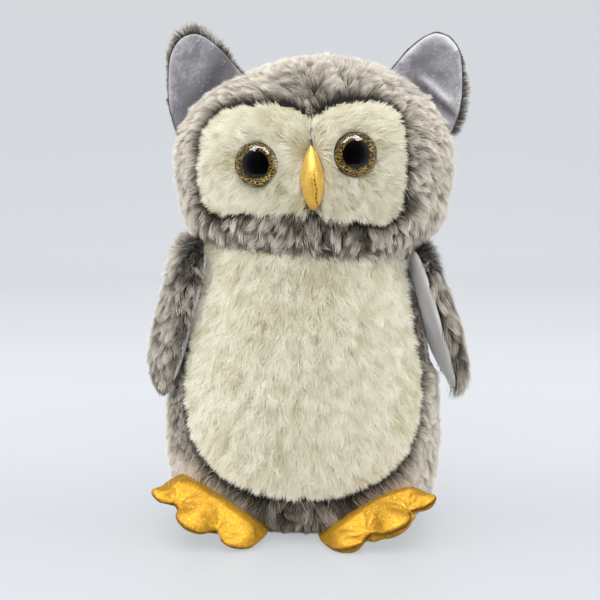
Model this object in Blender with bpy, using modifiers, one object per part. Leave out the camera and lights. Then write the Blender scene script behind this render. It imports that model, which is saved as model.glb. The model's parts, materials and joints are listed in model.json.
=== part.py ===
"""A stuffed toy owl, made as the pieces that it is sewn and locked together from.

Metres, +Z up. The owl faces -Y and stands on z = 0. Left is -X.
"""
import math

import bmesh
import bpy
from mathutils import Matrix, Vector

MM = 0.001

# Body: a barrel of pile cloth, open at the neck
BODY_WIDTH = 164 * MM
BODY_DEPTH = 138 * MM
NECK_HEIGHT = 172 * MM
BASE_FLAT = 0.5 * MM

# Head: sewn to the body all round the neck
HEAD_WIDTH = 167 * MM
HEAD_DEPTH = 136 * MM
HEAD_HEIGHT = 111 * MM
HEAD_SHIFT = 6.5 * MM

# Cloth and the gaps at its seams
PILE_CLOTH = 6 * MM
SEAM_GAP = 0.3 * MM
CUT_OVERRUN = 40 * MM
PANEL_MARGIN = 10 * MM
MERGE_DISTANCE = 0.01 * MM

# Base and its pellets
BASE_WIDTH = 84 * MM
BASE_DEPTH = 66 * MM
POUCH_WIDTH = 92 * MM
POUCH_DEPTH = 72 * MM
POUCH_HEIGHT = 26 * MM

# Safety eyes
EYE_DIAMETER = 25 * MM
PUPIL_DIAMETER = 15 * MM
LENS_HEIGHT = 7.2 * MM
LENS_RIM = 0.9 * MM
IRIS_THICK = 0.7 * MM
FLANGE_THICK = 1.2 * MM
EYE_SINK = 3.4 * MM
POST_DIAMETER = 4.8 * MM
POST_LENGTH = 14 * MM
POST_RIB = 0.35 * MM
POST_TIP = 0.8 * MM
WASHER_DIAMETER = 16 * MM
WASHER_THICK = 1 * MM
WASHER_BITE = 0.3 * MM

# Beak
BEAK_WIDTH = 13.5 * MM
BEAK_LENGTH = 37 * MM
BEAK_REACH = 13 * MM
BEAK_TIP_SHARE = 2
LAME_CLOTH = 1.4 * MM
FILL_EASE = 0.6 * MM

# Ears
EAR_WIDTH = 53 * MM
EAR_LENGTH = 44 * MM
EAR_THICK = 7 * MM
EAR_CUP = 3.5 * MM
VELOUR_CLOTH = 1.5 * MM
EAR_HEM = 2.5 * MM

# Wings
WING_WIDTH = 48 * MM
WING_LENGTH = 92.5 * MM
WING_OUTER_RISE = 16 * MM
WING_INNER_RISE = 3.5 * MM
WING_PILE = 5 * MM

# Feet
FOOT_WIDTH = 74 * MM
FOOT_LENGTH = 50 * MM
FOOT_TOP_RISE = 12 * MM
FOOT_SOLE_RISE = 8 * MM
FOOT_TUCK = 9 * MM
FOOT_DROP = 12 * MM

# Angles in degrees
EYE_TURN = 15
EAR_LEAN = 42
EAR_TURNS = {"left": 4, "right": 16}
WING_SPLAYS = {"left": 14, "right": 19}
WING_TURNS = {"left": 14, "right": 12}
FOOT_TURN = 24
FOOT_ROLLS = {"left": 26, "right": 23}
FOOT_PITCHES = {"left": 13, "right": 3}

# How far the ears bend back and forwards, and the feet fold up, clear of what they are sewn to
EAR_SWINGS = (15, 30, -10, -20)
FOOT_SWINGS = (10, 20)

CAGE_SIDES = 12
BEAK_SIDES = 8
CURVE_STEPS = 2

# Shares of height, half width, half depth in front and half depth behind
BODY_SECTION_SHARES = (
    (0.000, 0.64, 0.62, 0.64),
    (0.055, 0.89, 0.86, 0.86),
    (0.170, 0.985, 0.98, 0.94),
    (0.350, 1.015, 1.02, 0.97),
    (0.550, 0.995, 1.00, 0.96),
    (0.760, 0.92, 0.94, 0.91),
    (0.930, 0.83, 0.85, 0.84),
    (1.080, 0.76, 0.78, 0.78),
    (1.180, 0.68, 0.68, 0.68),
)
HEAD_SECTION_SHARES = (
    (-0.120, 0.72, 0.74, 0.74),
    (-0.010, 0.81, 0.84, 0.82),
    (0.080, 0.94, 0.95, 0.90),
    (0.220, 1.00, 1.01, 0.96),
    (0.400, 1.02, 1.03, 0.98),
    (0.590, 0.98, 1.00, 0.96),
    (0.770, 0.80, 0.84, 0.83),
    (0.920, 0.53, 0.57, 0.56),
    (1.025, 0.20, 0.22, 0.22),
)
POUCH_SECTION_SHARES = (
    (0.00, 0.74, 0.74, 0.74),
    (0.25, 1.00, 1.00, 1.00),
    (0.70, 0.96, 0.96, 0.96),
    (1.00, 0.58, 0.58, 0.58),
)
BEAK_SECTION_SHARES = (
    (-0.05, 0.16, 0.10, 0.30),
    (0.18, 0.74, 0.58, 0.70),
    (0.47, 1.08, 1.04, 0.90),
    (0.77, 0.76, 0.82, 0.70),
    (1.05, 0.16, 0.18, 0.30),
)

# Outlines of the panels: shares of the form's half width, and of its height
BELLY_SHARES = (
    (0.20, 1.10),
    (0.63, 1.05),
    (0.69, 0.90),
    (0.75, 0.75),
    (0.80, 0.62),
    (0.82, 0.49),
    (0.78, 0.37),
    (0.65, 0.27),
    (0.43, 0.205),
    (0.20, 0.175),
)
FACE_LINE_SHARE = -0.018
FACE_SHARES = {
    "left": (
        (-0.018, 0.690),
        (-0.17, 0.762),
        (-0.40, 0.778),
        (-0.61, 0.742),
        (-0.745, 0.632),
        (-0.785, 0.430),
        (-0.745, 0.245),
        (-0.62, 0.180),
        (-0.36, 0.215),
        (-0.018, 0.218),
    ),
    "right": (
        (-0.018, 0.690),
        (0.11, 0.758),
        (0.26, 0.790),
        (0.46, 0.786),
        (0.595, 0.710),
        (0.645, 0.464),
        (0.625, 0.250),
        (0.545, 0.155),
        (0.40, 0.128),
        (0.21, 0.170),
        (-0.018, 0.218),
    ),
}

# Places on the head: shares of its half width and of its height
EYE_PLACE_SHARES = {"left": (-0.405, 0.453), "right": (0.280, 0.507)}
BEAK_FOOT_SHARE = 0.225
EAR_PLACE_SHARES = {"left": (-0.727, 0.714), "right": (0.746, 0.720)}
EAR_DEPTH_SHARE = 0.06

# Places on the body: shares of its half width, half depth and height
WING_PLACE_SHARES = {"left": (-0.765, -0.16, 0.990), "right": (0.765, -0.16, 0.985)}
FOOT_PLACE_SHARES = {"left": (-0.557, -0.715, 0.196), "right": (0.435, -0.735, 0.167)}

# Outline of an ear from its lower root round its tip to its upper root, shares of width and length
EAR_SHARES = (
    (-0.50, -0.03),
    (-0.44, 0.25),
    (-0.29, 0.54),
    (-0.03, 0.865),
    (0.13, 0.98),
    (0.29, 1.0),
    (0.425, 0.91),
    (0.495, 0.70),
    (0.515, 0.45),
    (0.510, 0.18),
    (0.49, -0.03),
    (0.25, 0.03),
    (0.0, 0.05),
    (-0.25, 0.03),
)
# Outline of a wing, hanging from its top edge, shares of width and length
WING_SHARES = (
    (0.0, -0.008),
    (0.35, -0.02),
    (0.48, -0.112),
    (0.51, -0.335),
    (0.47, -0.60),
    (0.36, -0.83),
    (0.18, -0.965),
    (0.0, -1.0),
    (-0.18, -0.965),
    (-0.36, -0.83),
    (-0.47, -0.60),
    (-0.51, -0.335),
    (-0.48, -0.112),
    (-0.35, -0.02),
)
# Outline of a foot with its three toes, shares of width and length
FOOT_SHARES = (
    (0.0, 0.0),
    (0.30, 0.0),
    (0.43, 0.18),
    (0.50, 0.48),
    (0.485, 0.74),
    (0.34, 0.88),
    (0.20, 0.80),
    (0.13, 0.94),
    (0.0, 1.0),
    (-0.13, 0.94),
    (-0.20, 0.80),
    (-0.34, 0.88),
    (-0.485, 0.74),
    (-0.50, 0.48),
    (-0.43, 0.18),
    (-0.30, 0.0),
)
# The least share of a corner's stretch that an offset outline keeps
CORNER_SHARE = 0.5
# How far the rings of a cushion are drawn in towards its middle
RING_SHARES = (1.0, 0.92, 0.70, 0.38)

# Lens profile: turns up the dome, as shares of a right angle
DOME_STEPS = 5
ROUND_STEPS = 20
POST_STEPS = 12
POST_RIBS = 4

FINISHES = {
    "grey_pile": ((0.32, 0.28, 0.25, 1), 0.95, 0.0),
    "cream_pile": ((0.66, 0.62, 0.48, 1), 0.95, 0.0),
    "gold_lame": ((0.62, 0.40, 0.09, 1), 0.35, 0.8),
    "silver_velour": ((0.42, 0.42, 0.46, 1), 0.7, 0.0),
    "clear_lens": ((0.95, 0.95, 0.95, 1), 0.05, 0.0),
    "gold_glitter": ((0.70, 0.45, 0.10, 1), 0.3, 0.9),
    "black_plastic": ((0.02, 0.02, 0.02, 1), 0.3, 0.0),
    "white_plastic": ((0.80, 0.80, 0.78, 1), 0.45, 0.0),
    "fibre_fill": ((0.86, 0.86, 0.85, 1), 0.95, 0.0),
    "pellet_bag": ((0.72, 0.72, 0.70, 1), 0.8, 0.0),
}

SIDES = {"left": -1, "right": 1}


def clear_scene():
    for old in list(bpy.data.objects):
        bpy.data.objects.remove(old)


def make_collection(name):
    group = bpy.data.collections.new(name)
    bpy.context.scene.collection.children.link(group)
    return group


def make_finish(name, colour, roughness, metallic):
    finish = bpy.data.materials.new(name)
    finish.use_nodes = True
    shader = finish.node_tree.nodes["Principled BSDF"]
    shader.inputs["Base Color"].default_value = colour
    shader.inputs["Roughness"].default_value = roughness
    shader.inputs["Metallic"].default_value = metallic
    finish.diffuse_color = colour
    return finish


def add_piece(name, mesh, finish, parent=None):
    """One sub-part of the toy, in the owl's own collection."""
    piece = bpy.data.objects.new(name, mesh.copy())
    piece.data.name = name
    piece.data.materials.clear()
    piece.data.materials.append(FINISH[finish])
    PARTS.objects.link(piece)
    piece.parent = parent
    return piece


def add_cutter(name, mesh, parent=None):
    """A shape that only cuts others, kept apart from the pieces."""
    cutter = bpy.data.objects.new(name, mesh)
    cutter.display_type = "WIRE"
    cutter.hide_render = True
    CUTTERS.objects.link(cutter)
    cutter.parent = parent
    return cutter


def add_pivot(name, place, turn):
    """An empty on a seam that a limb swings about."""
    pivot = bpy.data.objects.new(name, None)
    pivot.location = place
    pivot.rotation_mode = "QUATERNION"
    pivot.rotation_quaternion = turn.to_quaternion()
    PARTS.objects.link(pivot)
    return pivot


def add_swing_rooms(name, form, place, turn, axis, angles):
    """The form where a limb meets it after swinging by each angle about its hinge's own axis."""
    hinge_frame = Matrix.Translation(place) @ turn.to_4x4()
    rooms = []
    for angle in angles:
        swing = Matrix.Rotation(math.radians(-angle), 4, axis)
        room = add_cutter(f"{name}_{angle}", form.data)
        room.matrix_world = hinge_frame @ swing @ hinge_frame.inverted()
        subdivide(room)
        swell(room, SEAM_GAP)
        rooms.append(room)
    return rooms


def mesh_from(bm, name):
    bmesh.ops.recalc_face_normals(bm, faces=bm.faces)
    mesh = bpy.data.meshes.new(name)
    bm.to_mesh(mesh)
    bm.free()
    for face in mesh.polygons:
        face.use_smooth = True
    return mesh


def subdivide(piece):
    rounder = piece.modifiers.new("rounded", "SUBSURF")
    rounder.levels = 1
    rounder.render_levels = 1


def make_shell(piece, wall):
    cloth = piece.modifiers.new("cloth", "SOLIDIFY")
    cloth.thickness = wall
    cloth.offset = -1


def swell(piece, distance):
    grow = piece.modifiers.new("grown", "DISPLACE")
    grow.strength = distance
    grow.mid_level = 0


def combine(piece, cutter, operation):
    cut_step = piece.modifiers.new(cutter.name, "BOOLEAN")
    cut_step.operation = operation
    cut_step.solver = "EXACT"
    cut_step.object = cutter


def cut(piece, *cutters):
    for cutter in cutters:
        combine(piece, cutter, "DIFFERENCE")


def keep_inside(piece, cutter):
    combine(piece, cutter, "INTERSECT")


def form_cage(name, sections, width, depth, height, sides=CAGE_SIDES):
    """Rings of points up a stuffed form, joined and capped, for subdivision to round."""
    # Rounding a ring of n points draws it in by this much, so the cage is that much larger
    swell_share = 8 / (6 + 2 * math.cos(2 * math.pi / sides))
    bm = bmesh.new()
    rings = []
    for level, across, front, back in sections:
        ring = []
        for step in range(sides):
            angle = 2 * math.pi * step / sides
            reach = back if math.sin(angle) > 0 else front
            x = math.cos(angle) * across * width / 2 * swell_share
            y = math.sin(angle) * reach * depth / 2 * swell_share
            ring.append(bm.verts.new((x, y, level * height)))
        rings.append(ring)
    for low, high in zip(rings, rings[1:]):
        for step in range(sides):
            after = (step + 1) % sides
            bm.faces.new((low[step], low[after], high[after], high[step]))
    bm.faces.new(reversed(rings[0]))
    bm.faces.new(rings[-1])
    return mesh_from(bm, name)


def section_at(sections, level):
    """Half width and front half depth shares at a height share, between the rings."""
    for low, high in zip(sections, sections[1:]):
        if low[0] <= level <= high[0]:
            along = (level - low[0]) / (high[0] - low[0])
            return tuple(a + (b - a) * along for a, b in zip(low[1:], high[1:]))
    return sections[-1][1:]


def head_front_point(across_share, level_share):
    """A point on the front of the head, for a share of its half width and height."""
    half_width, front, _ = section_at(HEAD_SECTION_SHARES, level_share)
    inward = math.sqrt(1 - (across_share / half_width) ** 2)
    x = HEAD_SHIFT + across_share * HEAD_WIDTH / 2
    y = -front * HEAD_DEPTH / 2 * inward
    z = NECK_HEIGHT + level_share * HEAD_HEIGHT
    return Vector((x, y, z))


def smooth_chain(corners, closed):
    """A Catmull-Rom curve through the corners, with CURVE_STEPS points to each stretch."""
    count = len(corners)
    points = []
    stretches = count if closed else count - 1
    for index in range(stretches):
        if closed:
            p0, p1, p2, p3 = (Vector(corners[(index + k) % count]) for k in (-1, 0, 1, 2))
        else:
            p0 = Vector(corners[max(index - 1, 0)])
            p1 = Vector(corners[index])
            p2 = Vector(corners[index + 1])
            p3 = Vector(corners[min(index + 2, count - 1)])
        for step in range(CURVE_STEPS):
            t = step / CURVE_STEPS
            point = (
                2 * p1
                + (p2 - p0) * t
                + (2 * p0 - 5 * p1 + 4 * p2 - p3) * t**2
                + (3 * p1 - 3 * p2 + p3 - p0) * t**3
            ) / 2
            points.append(point)
    if not closed:
        points.append(Vector(corners[-1]))
    return points


def scaled(shares, across, along, centre=(0, 0)):
    return [(centre[0] + a * across, centre[1] + b * along) for a, b in shares]


def loop_area(points):
    pairs = zip(points, points[1:] + points[:1])
    return sum(a.x * b.y - b.x * a.y for a, b in pairs) / 2


def offset_loop(points, distance):
    """The loop moved outwards by a distance, along the mean of its two edges at each point."""
    turn = 1 if loop_area(points) > 0 else -1
    moved = []
    count = len(points)
    for index, point in enumerate(points):
        before = (point - points[index - 1]).normalized()
        after = (points[(index + 1) % count] - point).normalized()
        along = (before + after).normalized()
        outwards = Vector((along.y, -along.x)) * turn
        stretch = max(outwards.dot(Vector((after.y, -after.x)) * turn), CORNER_SHARE)
        moved.append(point + outwards * (distance / stretch))
    return moved


def prism(name, loop, near, far):
    """An outline in X and Z, pushed along Y from near to far."""
    outline = bpy.data.curves.new(name, "CURVE")
    outline.dimensions = "2D"
    outline.fill_mode = "BOTH"
    outline.extrude = (far - near) / 2
    spline = outline.splines.new("POLY")
    spline.points.add(len(loop) - 1)
    for slot, point in zip(spline.points, loop):
        slot.co = (point.x, point.y, 0, 1)
    spline.use_cyclic_u = True
    guide = bpy.data.objects.new(name, outline)
    guide.location = (0, (near + far) / 2, 0)
    guide.rotation_euler = (math.pi / 2, 0, 0)
    CUTTERS.objects.link(guide)
    bpy.context.view_layer.update()
    solid = bpy.data.meshes.new_from_object(guide.evaluated_get(bpy.context.evaluated_depsgraph_get()))
    bm = bmesh.new()
    bm.from_mesh(solid)
    bmesh.ops.remove_doubles(bm, verts=bm.verts, dist=MERGE_DISTANCE)
    bmesh.ops.transform(bm, matrix=guide.matrix_world, verts=bm.verts)
    bpy.data.objects.remove(guide)
    return add_cutter(name, mesh_from(bm, name))


def block(name, low, high, parent=None):
    """A box cutter between two corners."""
    low = Vector(low)
    high = Vector(high)
    bm = bmesh.new()
    bmesh.ops.create_cube(bm, size=1)
    bmesh.ops.scale(bm, vec=high - low, verts=bm.verts)
    bmesh.ops.translate(bm, vec=(low + high) / 2, verts=bm.verts)
    return add_cutter(name, mesh_from(bm, name), parent)


def turned(name, profile, closed=False):
    """A profile of radius and height, in order down its outer side, to be turned about Z."""
    bm = bmesh.new()
    points = [bm.verts.new((radius, 0, height)) for radius, height in profile]
    for a, b in zip(points, points[1:]):
        bm.edges.new((a, b))
    if closed:
        bm.edges.new((points[-1], points[0]))
    mesh = bpy.data.meshes.new(name)
    bm.to_mesh(mesh)
    bm.free()
    return mesh


def spin(piece, steps):
    turn = piece.modifiers.new("turned", "SCREW")
    turn.steps = steps
    turn.render_steps = steps
    turn.use_merge_vertices = True
    turn.merge_threshold = MERGE_DISTANCE


def middle_of(loop):
    return sum(loop, Vector((0, 0))) / len(loop)


def cushion(name, loop, middle, rise_up, rise_down, bend=None):
    """Rings of an outline drawn in to its middle, lifted as a quarter ellipse on both faces."""
    bm = bmesh.new()

    def ring(share, rise):
        lift = rise * math.sqrt(max(1 - share**2, 0))
        placed = []
        for point in loop:
            spot = middle + (point - middle) * share
            extra = bend(spot) if bend else 0
            placed.append(bm.verts.new((spot.x, spot.y, lift + extra)))
        return placed

    rim = ring(RING_SHARES[0], 0)
    for rise in (rise_up, rise_down):
        rings = [rim] + [ring(share, rise) for share in RING_SHARES[1:]]
        for outer, inner in zip(rings, rings[1:]):
            for index in range(len(loop)):
                after = (index + 1) % len(loop)
                bm.faces.new((outer[index], outer[after], inner[after], inner[index]))
        extra = bend(middle) if bend else 0
        top = bm.verts.new((middle.x, middle.y, rise + extra))
        for index in range(len(loop)):
            after = (index + 1) % len(loop)
            bm.faces.new((rings[-1][index], rings[-1][after], top))
    return mesh_from(bm, name)


def lie_along(mesh, axes):
    """Turns a mesh so that its X, Y and Z lie along three given axes."""
    mesh.transform(Matrix(axes).transposed().to_4x4())
    return mesh


def turn_about(axis, degrees):
    return Matrix.Rotation(math.radians(degrees), 3, axis)


def make_forms():
    """The cages of the head and body, and the grown copies that cut what is sewn to them."""
    body = form_cage("body_form", BODY_SECTION_SHARES, BODY_WIDTH, BODY_DEPTH, NECK_HEIGHT)
    body.transform(Matrix.Translation((0, 0, -BASE_FLAT)))
    head = form_cage("head_form", HEAD_SECTION_SHARES, HEAD_WIDTH, HEAD_DEPTH, HEAD_HEIGHT)
    head.transform(Matrix.Translation((HEAD_SHIFT, 0, NECK_HEIGHT)))
    forms = {"body": body, "head": head}
    for name in ("body", "head"):
        grown = add_cutter(name + "_clearance", forms[name].copy())
        subdivide(grown)
        swell(grown, SEAM_GAP)
        forms[name + "_clearance"] = grown
    return forms


def make_planes():
    """Blocks that part the covers: front from back, head from body, and the toy from the floor."""
    far = BODY_WIDTH + CUT_OVERRUN
    top = NECK_HEIGHT + HEAD_HEIGHT + CUT_OVERRUN
    half = SEAM_GAP / 2
    return {
        "rear": block("rear_block", (-far, -half, -CUT_OVERRUN), (far, far, top)),
        "front": block("front_block", (-far, -far, -CUT_OVERRUN), (far, half, top)),
        "below_neck": block("below_neck_block", (-far, -far, -CUT_OVERRUN), (far, far, NECK_HEIGHT + half)),
        "above_neck": block("above_neck_block", (-far, -far, NECK_HEIGHT - half), (far, far, top)),
        "floor": block("floor_block", (-far, -far, -CUT_OVERRUN), (far, far, 0)),
    }


def make_head(forms, planes):
    """Two grey covers, two face lobes between them, and the filling."""
    front = add_piece("head_front_cover", forms["head"], "grey_pile")
    back = add_piece("head_back_cover", forms["head"], "grey_pile")
    for cover, other in ((front, "rear"), (back, "front")):
        subdivide(cover)
        make_shell(cover, PILE_CLOTH)
        cut(cover, planes[other], planes["below_neck"])
    panels = {}
    for side, shares in FACE_SHARES.items():
        corners = scaled(shares, HEAD_WIDTH / 2, HEAD_HEIGHT, (HEAD_SHIFT, NECK_HEIGHT))
        loop = smooth_chain(corners, closed=False)
        near = -HEAD_DEPTH / 2 - CUT_OVERRUN
        hole = prism("face_hole_" + side, offset_loop(loop, SEAM_GAP / 2), near, -PANEL_MARGIN)
        patch = prism("face_patch_" + side, offset_loop(loop, -SEAM_GAP / 2), near, -PANEL_MARGIN)
        cut(front, hole)
        panel = add_piece("face_panel_" + side, forms["head"], "cream_pile")
        subdivide(panel)
        make_shell(panel, PILE_CLOTH)
        keep_inside(panel, patch)
        panels[side] = panel
    filling = add_piece("head_stuffing", forms["head"], "fibre_fill")
    subdivide(filling)
    swell(filling, -PILE_CLOTH - SEAM_GAP)
    cut(filling, planes["below_neck"])
    return panels, filling


def make_eye(side, panel, filling):
    """A clear dome over a glitter ring and a black disc, on a post that a washer locks."""
    sign = SIDES[side]
    place = head_front_point(*EYE_PLACE_SHARES[side])
    outwards = Vector((math.sin(math.radians(EYE_TURN)) * sign, -math.cos(math.radians(EYE_TURN)), 0))
    turn = outwards.to_track_quat("Z", "Y")
    seat = add_pivot("eye_seat_" + side, place - outwards * EYE_SINK, turn.to_matrix())
    eye_r = EYE_DIAMETER / 2
    pupil_r = PUPIL_DIAMETER / 2
    post_r = POST_DIAMETER / 2
    rib_r = post_r + POST_RIB
    disc_r = eye_r - SEAM_GAP
    flange_top = SEAM_GAP + FLANGE_THICK
    iris_low = flange_top + SEAM_GAP
    iris_top = iris_low + IRIS_THICK
    lens_low = iris_top + SEAM_GAP

    arc = [
        (eye_r * math.sin(math.pi / 2 * k / DOME_STEPS),
         lens_low + LENS_RIM + (LENS_HEIGHT - LENS_RIM) * math.cos(math.pi / 2 * k / DOME_STEPS))
        for k in range(DOME_STEPS + 1)
    ]
    lens = turned("lens", arc + [(eye_r, lens_low), (0, lens_low)])
    spin(add_piece("eye_lens_" + side, lens, "clear_lens", seat), ROUND_STEPS)
    ring_in = pupil_r + SEAM_GAP
    iris = turned(
        "iris",
        [(ring_in, iris_top), (disc_r, iris_top), (disc_r, iris_low), (ring_in, iris_low)],
        closed=True,
    )
    spin(add_piece("eye_iris_" + side, iris, "gold_glitter", seat), ROUND_STEPS)
    pupil = turned("pupil", [(0, iris_top), (pupil_r, iris_top), (pupil_r, iris_low), (0, iris_low)])
    spin(add_piece("eye_pupil_" + side, pupil, "black_plastic", seat), ROUND_STEPS)

    cloth_left = PILE_CLOTH - EYE_SINK
    washer_top = -cloth_left - SEAM_GAP
    washer_low = washer_top - WASHER_THICK
    post_low = -POST_LENGTH
    profile = [(0, flange_top), (disc_r, flange_top), (disc_r, SEAM_GAP), (post_r, SEAM_GAP)]
    rib_start = washer_low - WASHER_THICK
    rib_step = (rib_start - post_low - POST_TIP) / POST_RIBS
    for rib in range(POST_RIBS):
        height = rib_start - rib * rib_step
        profile += [(post_r, height), (rib_r, height - rib_step / 2), (post_r, height - rib_step / 2)]
    profile += [(post_r, post_low + POST_TIP), (post_r - POST_TIP, post_low), (0, post_low)]
    stem = turned("stem", profile)
    spin(add_piece("eye_stem_" + side, stem, "black_plastic", seat), POST_STEPS)

    washer_r = WASHER_DIAMETER / 2
    bore_r = post_r + WASHER_BITE
    washer = turned(
        "washer",
        [(bore_r, washer_top), (washer_r, washer_top), (washer_r, washer_low), (bore_r, washer_low)],
        closed=True,
    )
    spin(add_piece("eye_washer_" + side, washer, "white_plastic", seat), POST_STEPS)

    # One stepped hole: the pocket in the cloth, the bore through it, and the room inside the filling
    bore = rib_r + SEAM_GAP
    pocket_r = eye_r + SEAM_GAP
    room_r = washer_r + SEAM_GAP
    steps = [
        (0, LENS_HEIGHT + EYE_SINK),
        (pocket_r, LENS_HEIGHT + EYE_SINK),
        (pocket_r, 0),
        (bore, 0),
        (bore, -cloth_left),
        (room_r, -cloth_left),
        (room_r, washer_low - SEAM_GAP),
        (bore, washer_low - SEAM_GAP),
        (bore, post_low - SEAM_GAP),
        (0, post_low - SEAM_GAP),
    ]
    socket = add_cutter("eye_socket_" + side, turned("socket", steps), seat)
    spin(socket, ROUND_STEPS)
    cut(panel, socket)
    cut(filling, socket)


def beak_cage(name, less):
    """The beak's spindle, drawn in all round by a distance."""
    level = BEAK_FOOT_SHARE + BEAK_LENGTH / 2 / HEAD_HEIGHT
    place = head_front_point(FACE_LINE_SHARE, level)
    foot = NECK_HEIGHT + BEAK_FOOT_SHARE * HEAD_HEIGHT
    width = BEAK_WIDTH - 2 * less
    depth = 2 * (BEAK_REACH - less)
    tip_less = BEAK_TIP_SHARE * less
    length = BEAK_LENGTH - 2 * tip_less
    cage = form_cage(name, BEAK_SECTION_SHARES, width, depth, length, BEAK_SIDES)
    cage.transform(Matrix.Translation((place.x, place.y, foot + tip_less)))
    return cage


def make_beak(forms):
    """A stuffed spindle on the line between the face lobes, cut to the face."""
    cover = add_piece("beak_cover", beak_cage("beak", 0), "gold_lame")
    room = add_cutter("beak_room", beak_cage("beak_room", LAME_CLOTH))
    filling = add_piece("beak_stuffing", beak_cage("beak_fill", LAME_CLOTH + SEAM_GAP), "fibre_fill")
    for shape in (cover, room, filling):
        subdivide(shape)
    cut(cover, room, forms["head_clearance"])
    cut(filling, forms["head_clearance"])


def make_body(forms, planes):
    """Two grey covers, the belly and base let into them, the filling and the pellets."""
    front = add_piece("body_front_cover", forms["body"], "grey_pile")
    back = add_piece("body_back_cover", forms["body"], "grey_pile")
    half_belly = scaled(BELLY_SHARES, BODY_WIDTH / 2, NECK_HEIGHT)
    belly = half_belly + [(-x, z) for x, z in reversed(half_belly)]
    loop = smooth_chain(belly, closed=True)
    near = -BODY_DEPTH / 2 - CUT_OVERRUN
    belly_hole = prism("belly_hole", offset_loop(loop, SEAM_GAP / 2), near, -PANEL_MARGIN)
    belly_patch = prism("belly_patch", offset_loop(loop, -SEAM_GAP / 2), near, -PANEL_MARGIN)
    base_loops = {}
    for name, extra in (("base_hole", SEAM_GAP / 2), ("base_patch", -SEAM_GAP / 2)):
        bm = bmesh.new()
        bmesh.ops.create_cone(
            bm, cap_ends=True, segments=2 * CAGE_SIDES, radius1=0.5, radius2=0.5, depth=2 * CUT_OVERRUN
        )
        size = (BASE_WIDTH + 2 * extra, BASE_DEPTH + 2 * extra, 1)
        bmesh.ops.scale(bm, vec=size, verts=bm.verts)
        base_loops[name] = add_cutter(name, mesh_from(bm, name))
    for cover, other in ((front, "rear"), (back, "front")):
        subdivide(cover)
        make_shell(cover, PILE_CLOTH)
        cut(cover, planes[other], planes["above_neck"], planes["floor"], base_loops["base_hole"])
    cut(front, belly_hole)

    panel = add_piece("belly_panel", forms["body"], "cream_pile")
    subdivide(panel)
    make_shell(panel, PILE_CLOTH)
    cut(panel, planes["above_neck"])
    keep_inside(panel, belly_patch)

    base = add_piece("base_panel", forms["body"], "grey_pile")
    subdivide(base)
    make_shell(base, PILE_CLOTH)
    cut(base, planes["floor"])
    keep_inside(base, base_loops["base_patch"])

    filling = add_piece("body_stuffing", forms["body"], "fibre_fill")
    subdivide(filling)
    swell(filling, -PILE_CLOTH - SEAM_GAP)
    cut(filling, planes["above_neck"])

    bag = form_cage("pouch_form", POUCH_SECTION_SHARES, POUCH_WIDTH, POUCH_DEPTH, POUCH_HEIGHT)
    bag.transform(Matrix.Translation((0, 0, PILE_CLOTH - BASE_FLAT + SEAM_GAP)))
    room = add_cutter("pouch_room", bag.copy())
    subdivide(room)
    swell(room, SEAM_GAP)
    cut(filling, room)
    pouch = add_piece("pellet_pouch", bag, "pellet_bag")
    subdivide(pouch)


def make_ear(side, forms):
    """A pile cloth back and a velour lining, cupped forwards and cut to the head."""
    sign = SIDES[side]
    across, level = EAR_PLACE_SHARES[side]
    root = Vector((
        HEAD_SHIFT + across * HEAD_WIDTH / 2,
        EAR_DEPTH_SHARE * HEAD_DEPTH / 2,
        NECK_HEIGHT + level * HEAD_HEIGHT,
    ))
    turn = turn_about("Y", sign * EAR_LEAN) @ turn_about("Z", -sign * EAR_TURNS[side])
    hinge = add_pivot("ear_hinge_" + side, root, turn)
    shares = [(-sign * a, b) for a, b in EAR_SHARES]
    loop = smooth_chain(scaled(shares, EAR_WIDTH, EAR_LENGTH), closed=True)

    def cup(spot):
        return EAR_CUP * (spot.x / (EAR_WIDTH / 2)) ** 2

    axes = ((1, 0, 0), (0, 0, 1), (0, -1, 0))
    back_mesh = cushion("ear", loop, middle_of(loop), -SEAM_GAP, -EAR_THICK, cup)
    back = add_piece("ear_back_" + side, lie_along(back_mesh, axes), "grey_pile", hinge)
    clearance = forms["head_clearance"]
    rooms = add_swing_rooms("ear_room_" + side, clearance, root, turn, "X", EAR_SWINGS)
    cut(back, clearance, *rooms)
    hem = offset_loop(loop, -EAR_HEM)
    lining_mesh = cushion("lining", hem, middle_of(loop), VELOUR_CLOTH, 0, cup)
    lining = add_piece("ear_lining_" + side, lie_along(lining_mesh, axes), "silver_velour", hinge)
    cut(lining, clearance, *rooms)


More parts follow.
